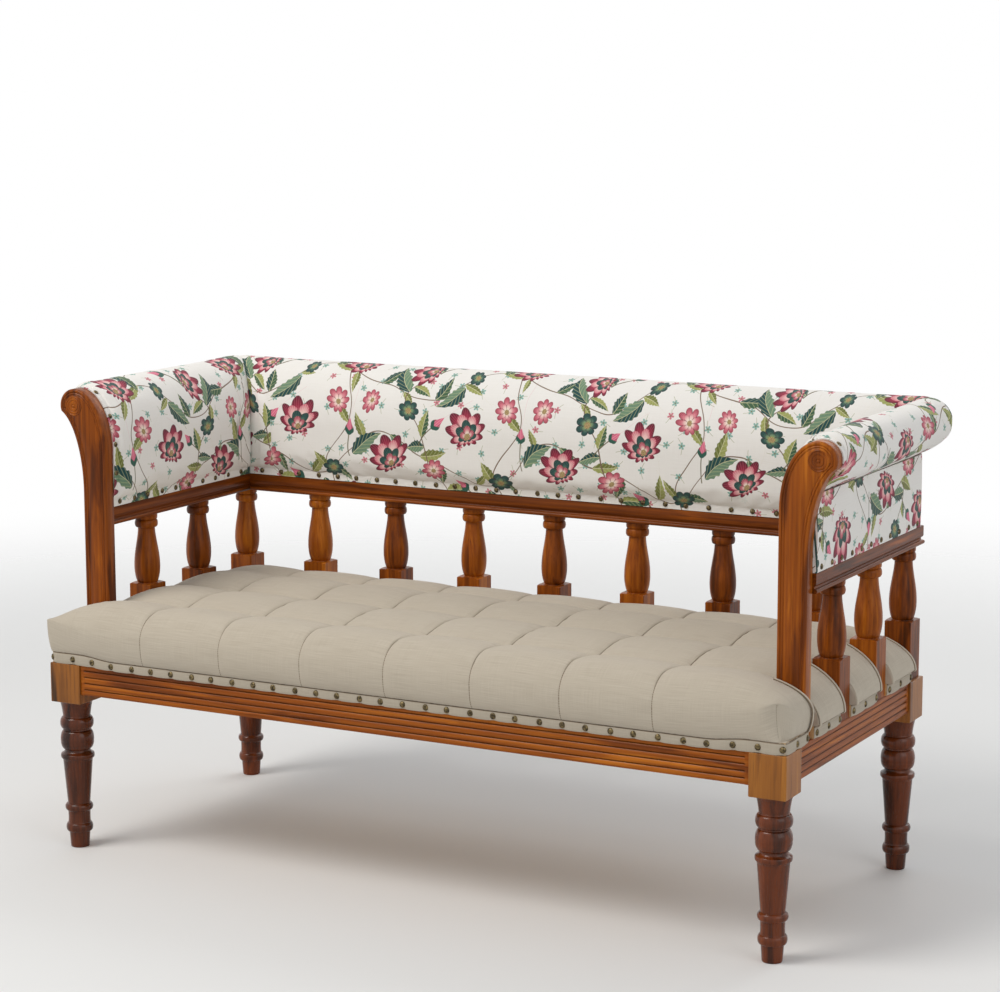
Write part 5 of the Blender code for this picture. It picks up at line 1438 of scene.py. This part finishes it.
def make_stage():
    """Pale floor that keeps the shadow, with a white surround for the camera and for reflections."""
    mesh = bpy.data.meshes.new("floor")
    reach = 6.0
    corners = [(-reach, -reach, 0), (reach, -reach, 0), (reach, reach, 0), (-reach, reach, 0)]
    mesh.from_pydata(corners, [], [(0, 1, 2, 3)])
    floor = bpy.data.objects.new("floor", mesh)
    bpy.context.scene.collection.objects.link(floor)

    def draw(base):
        place = base.node("ShaderNodeTexCoord", out="Object")
        far = place.node("ShaderNodeVectorMath", {"operation": "LENGTH"}, {0: place}, "Value")
        return {"Alpha": 1 - rise(far, 1.7, 4.0)}

    mesh.materials.append(finish("pale_floor", draw, Base_Color=paint(231, 231, 230), Roughness=0.8))
    world = bpy.data.worlds.new("studio")
    world.use_nodes = True
    bpy.context.scene.world = world
    base = Value(world.node_tree)
    rays = ("Is Camera Ray", "Is Glossy Ray", "Is Transmission Ray")
    seen, gloss, through = base.node("ShaderNodeLightPath", out=rays)
    white = seen.math("MAXIMUM", gloss).math("MAXIMUM", through)
    shader = world.node_tree.nodes["Background"]
    ambient, backdrop = (0.44, 0.45, 0.46, 1.0), (1.0, 1.0, 1.0, 1.0)
    shade = mix(white, ambient, backdrop)
    world.node_tree.links.new(shade.socket, shader.inputs["Color"])
    shader.inputs["Strength"].default_value = 1.0


def lamp(name, place, aim, size, power, colour=(1.0, 1.0, 1.0)):
    """A square area lamp at a place, turned to its aim."""
    light = bpy.data.lights.new(name, "AREA")
    light.size, light.energy, light.color = size, power, colour
    made = bpy.data.objects.new(name, light)
    bpy.context.scene.collection.objects.link(made)
    made.location = place
    way = np.array(aim) - np.array(place)
    yaw, tilt = math.atan2(way[1], way[0]), math.atan2(np.hypot(way[0], way[1]), -way[2])
    made.rotation_euler = (tilt, 0, yaw - math.pi / 2)


def make_camera():
    """Camera at the photograph's place, turned left, tipped down and rolled slightly."""
    data = bpy.data.cameras.new("camera")
    data.sensor_fit, data.sensor_width, data.lens = "HORIZONTAL", 36.0, 97.745
    camera = bpy.data.objects.new("camera", data)
    bpy.context.scene.collection.objects.link(camera)
    yaw, tip, roll = math.radians(28.280), math.radians(9.343), math.radians(-0.116)
    camera.matrix_world = Matrix.Translation((2.2550, -4.1385, 1.4269))
    for angle, axis in ((yaw, "Z"), (math.pi / 2 - tip, "X"), (roll, "Z")):
        camera.matrix_world = camera.matrix_world @ Matrix.Rotation(angle, 4, axis)
    bpy.context.scene.camera = camera


make_camera()
make_stage()
lamp("key", (-1.9, -2.5, 4.2), (0, 0, 0.4), 2.2, 132, (1.0, 0.97, 0.93))
lamp("fill", (4.3, -1.6, 2.3), (0, 0, 0.4), 3.0, 36, (0.97, 0.98, 1.0))
lamp("back", (0.5, 3.6, 3.4), (0, 0, 0.5), 3.0, 50)
bpy.context.scene.view_settings.view_transform = "Standard"

make_legs()
make_rails()
make_balusters()
make_mid_rails()
make_posts()
make_seat()
make_nails("nails_seat", make_bands(), SEAT_NAIL)
make_covers()
make_nails("nails_covers", cover_nails(), COVER_NAIL)
hidden = {"seat_board": PLYWOOD, "seat_bearer": TIMBER, "back_frame": TIMBER}
for side in SIDES:
    for node in ("arm_frame_", "corner_brace_front_", "corner_brace_back_"):
        hidden[node + side] = TIMBER
for node, material in hidden.items():
    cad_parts[node].material_slots[0].material = material
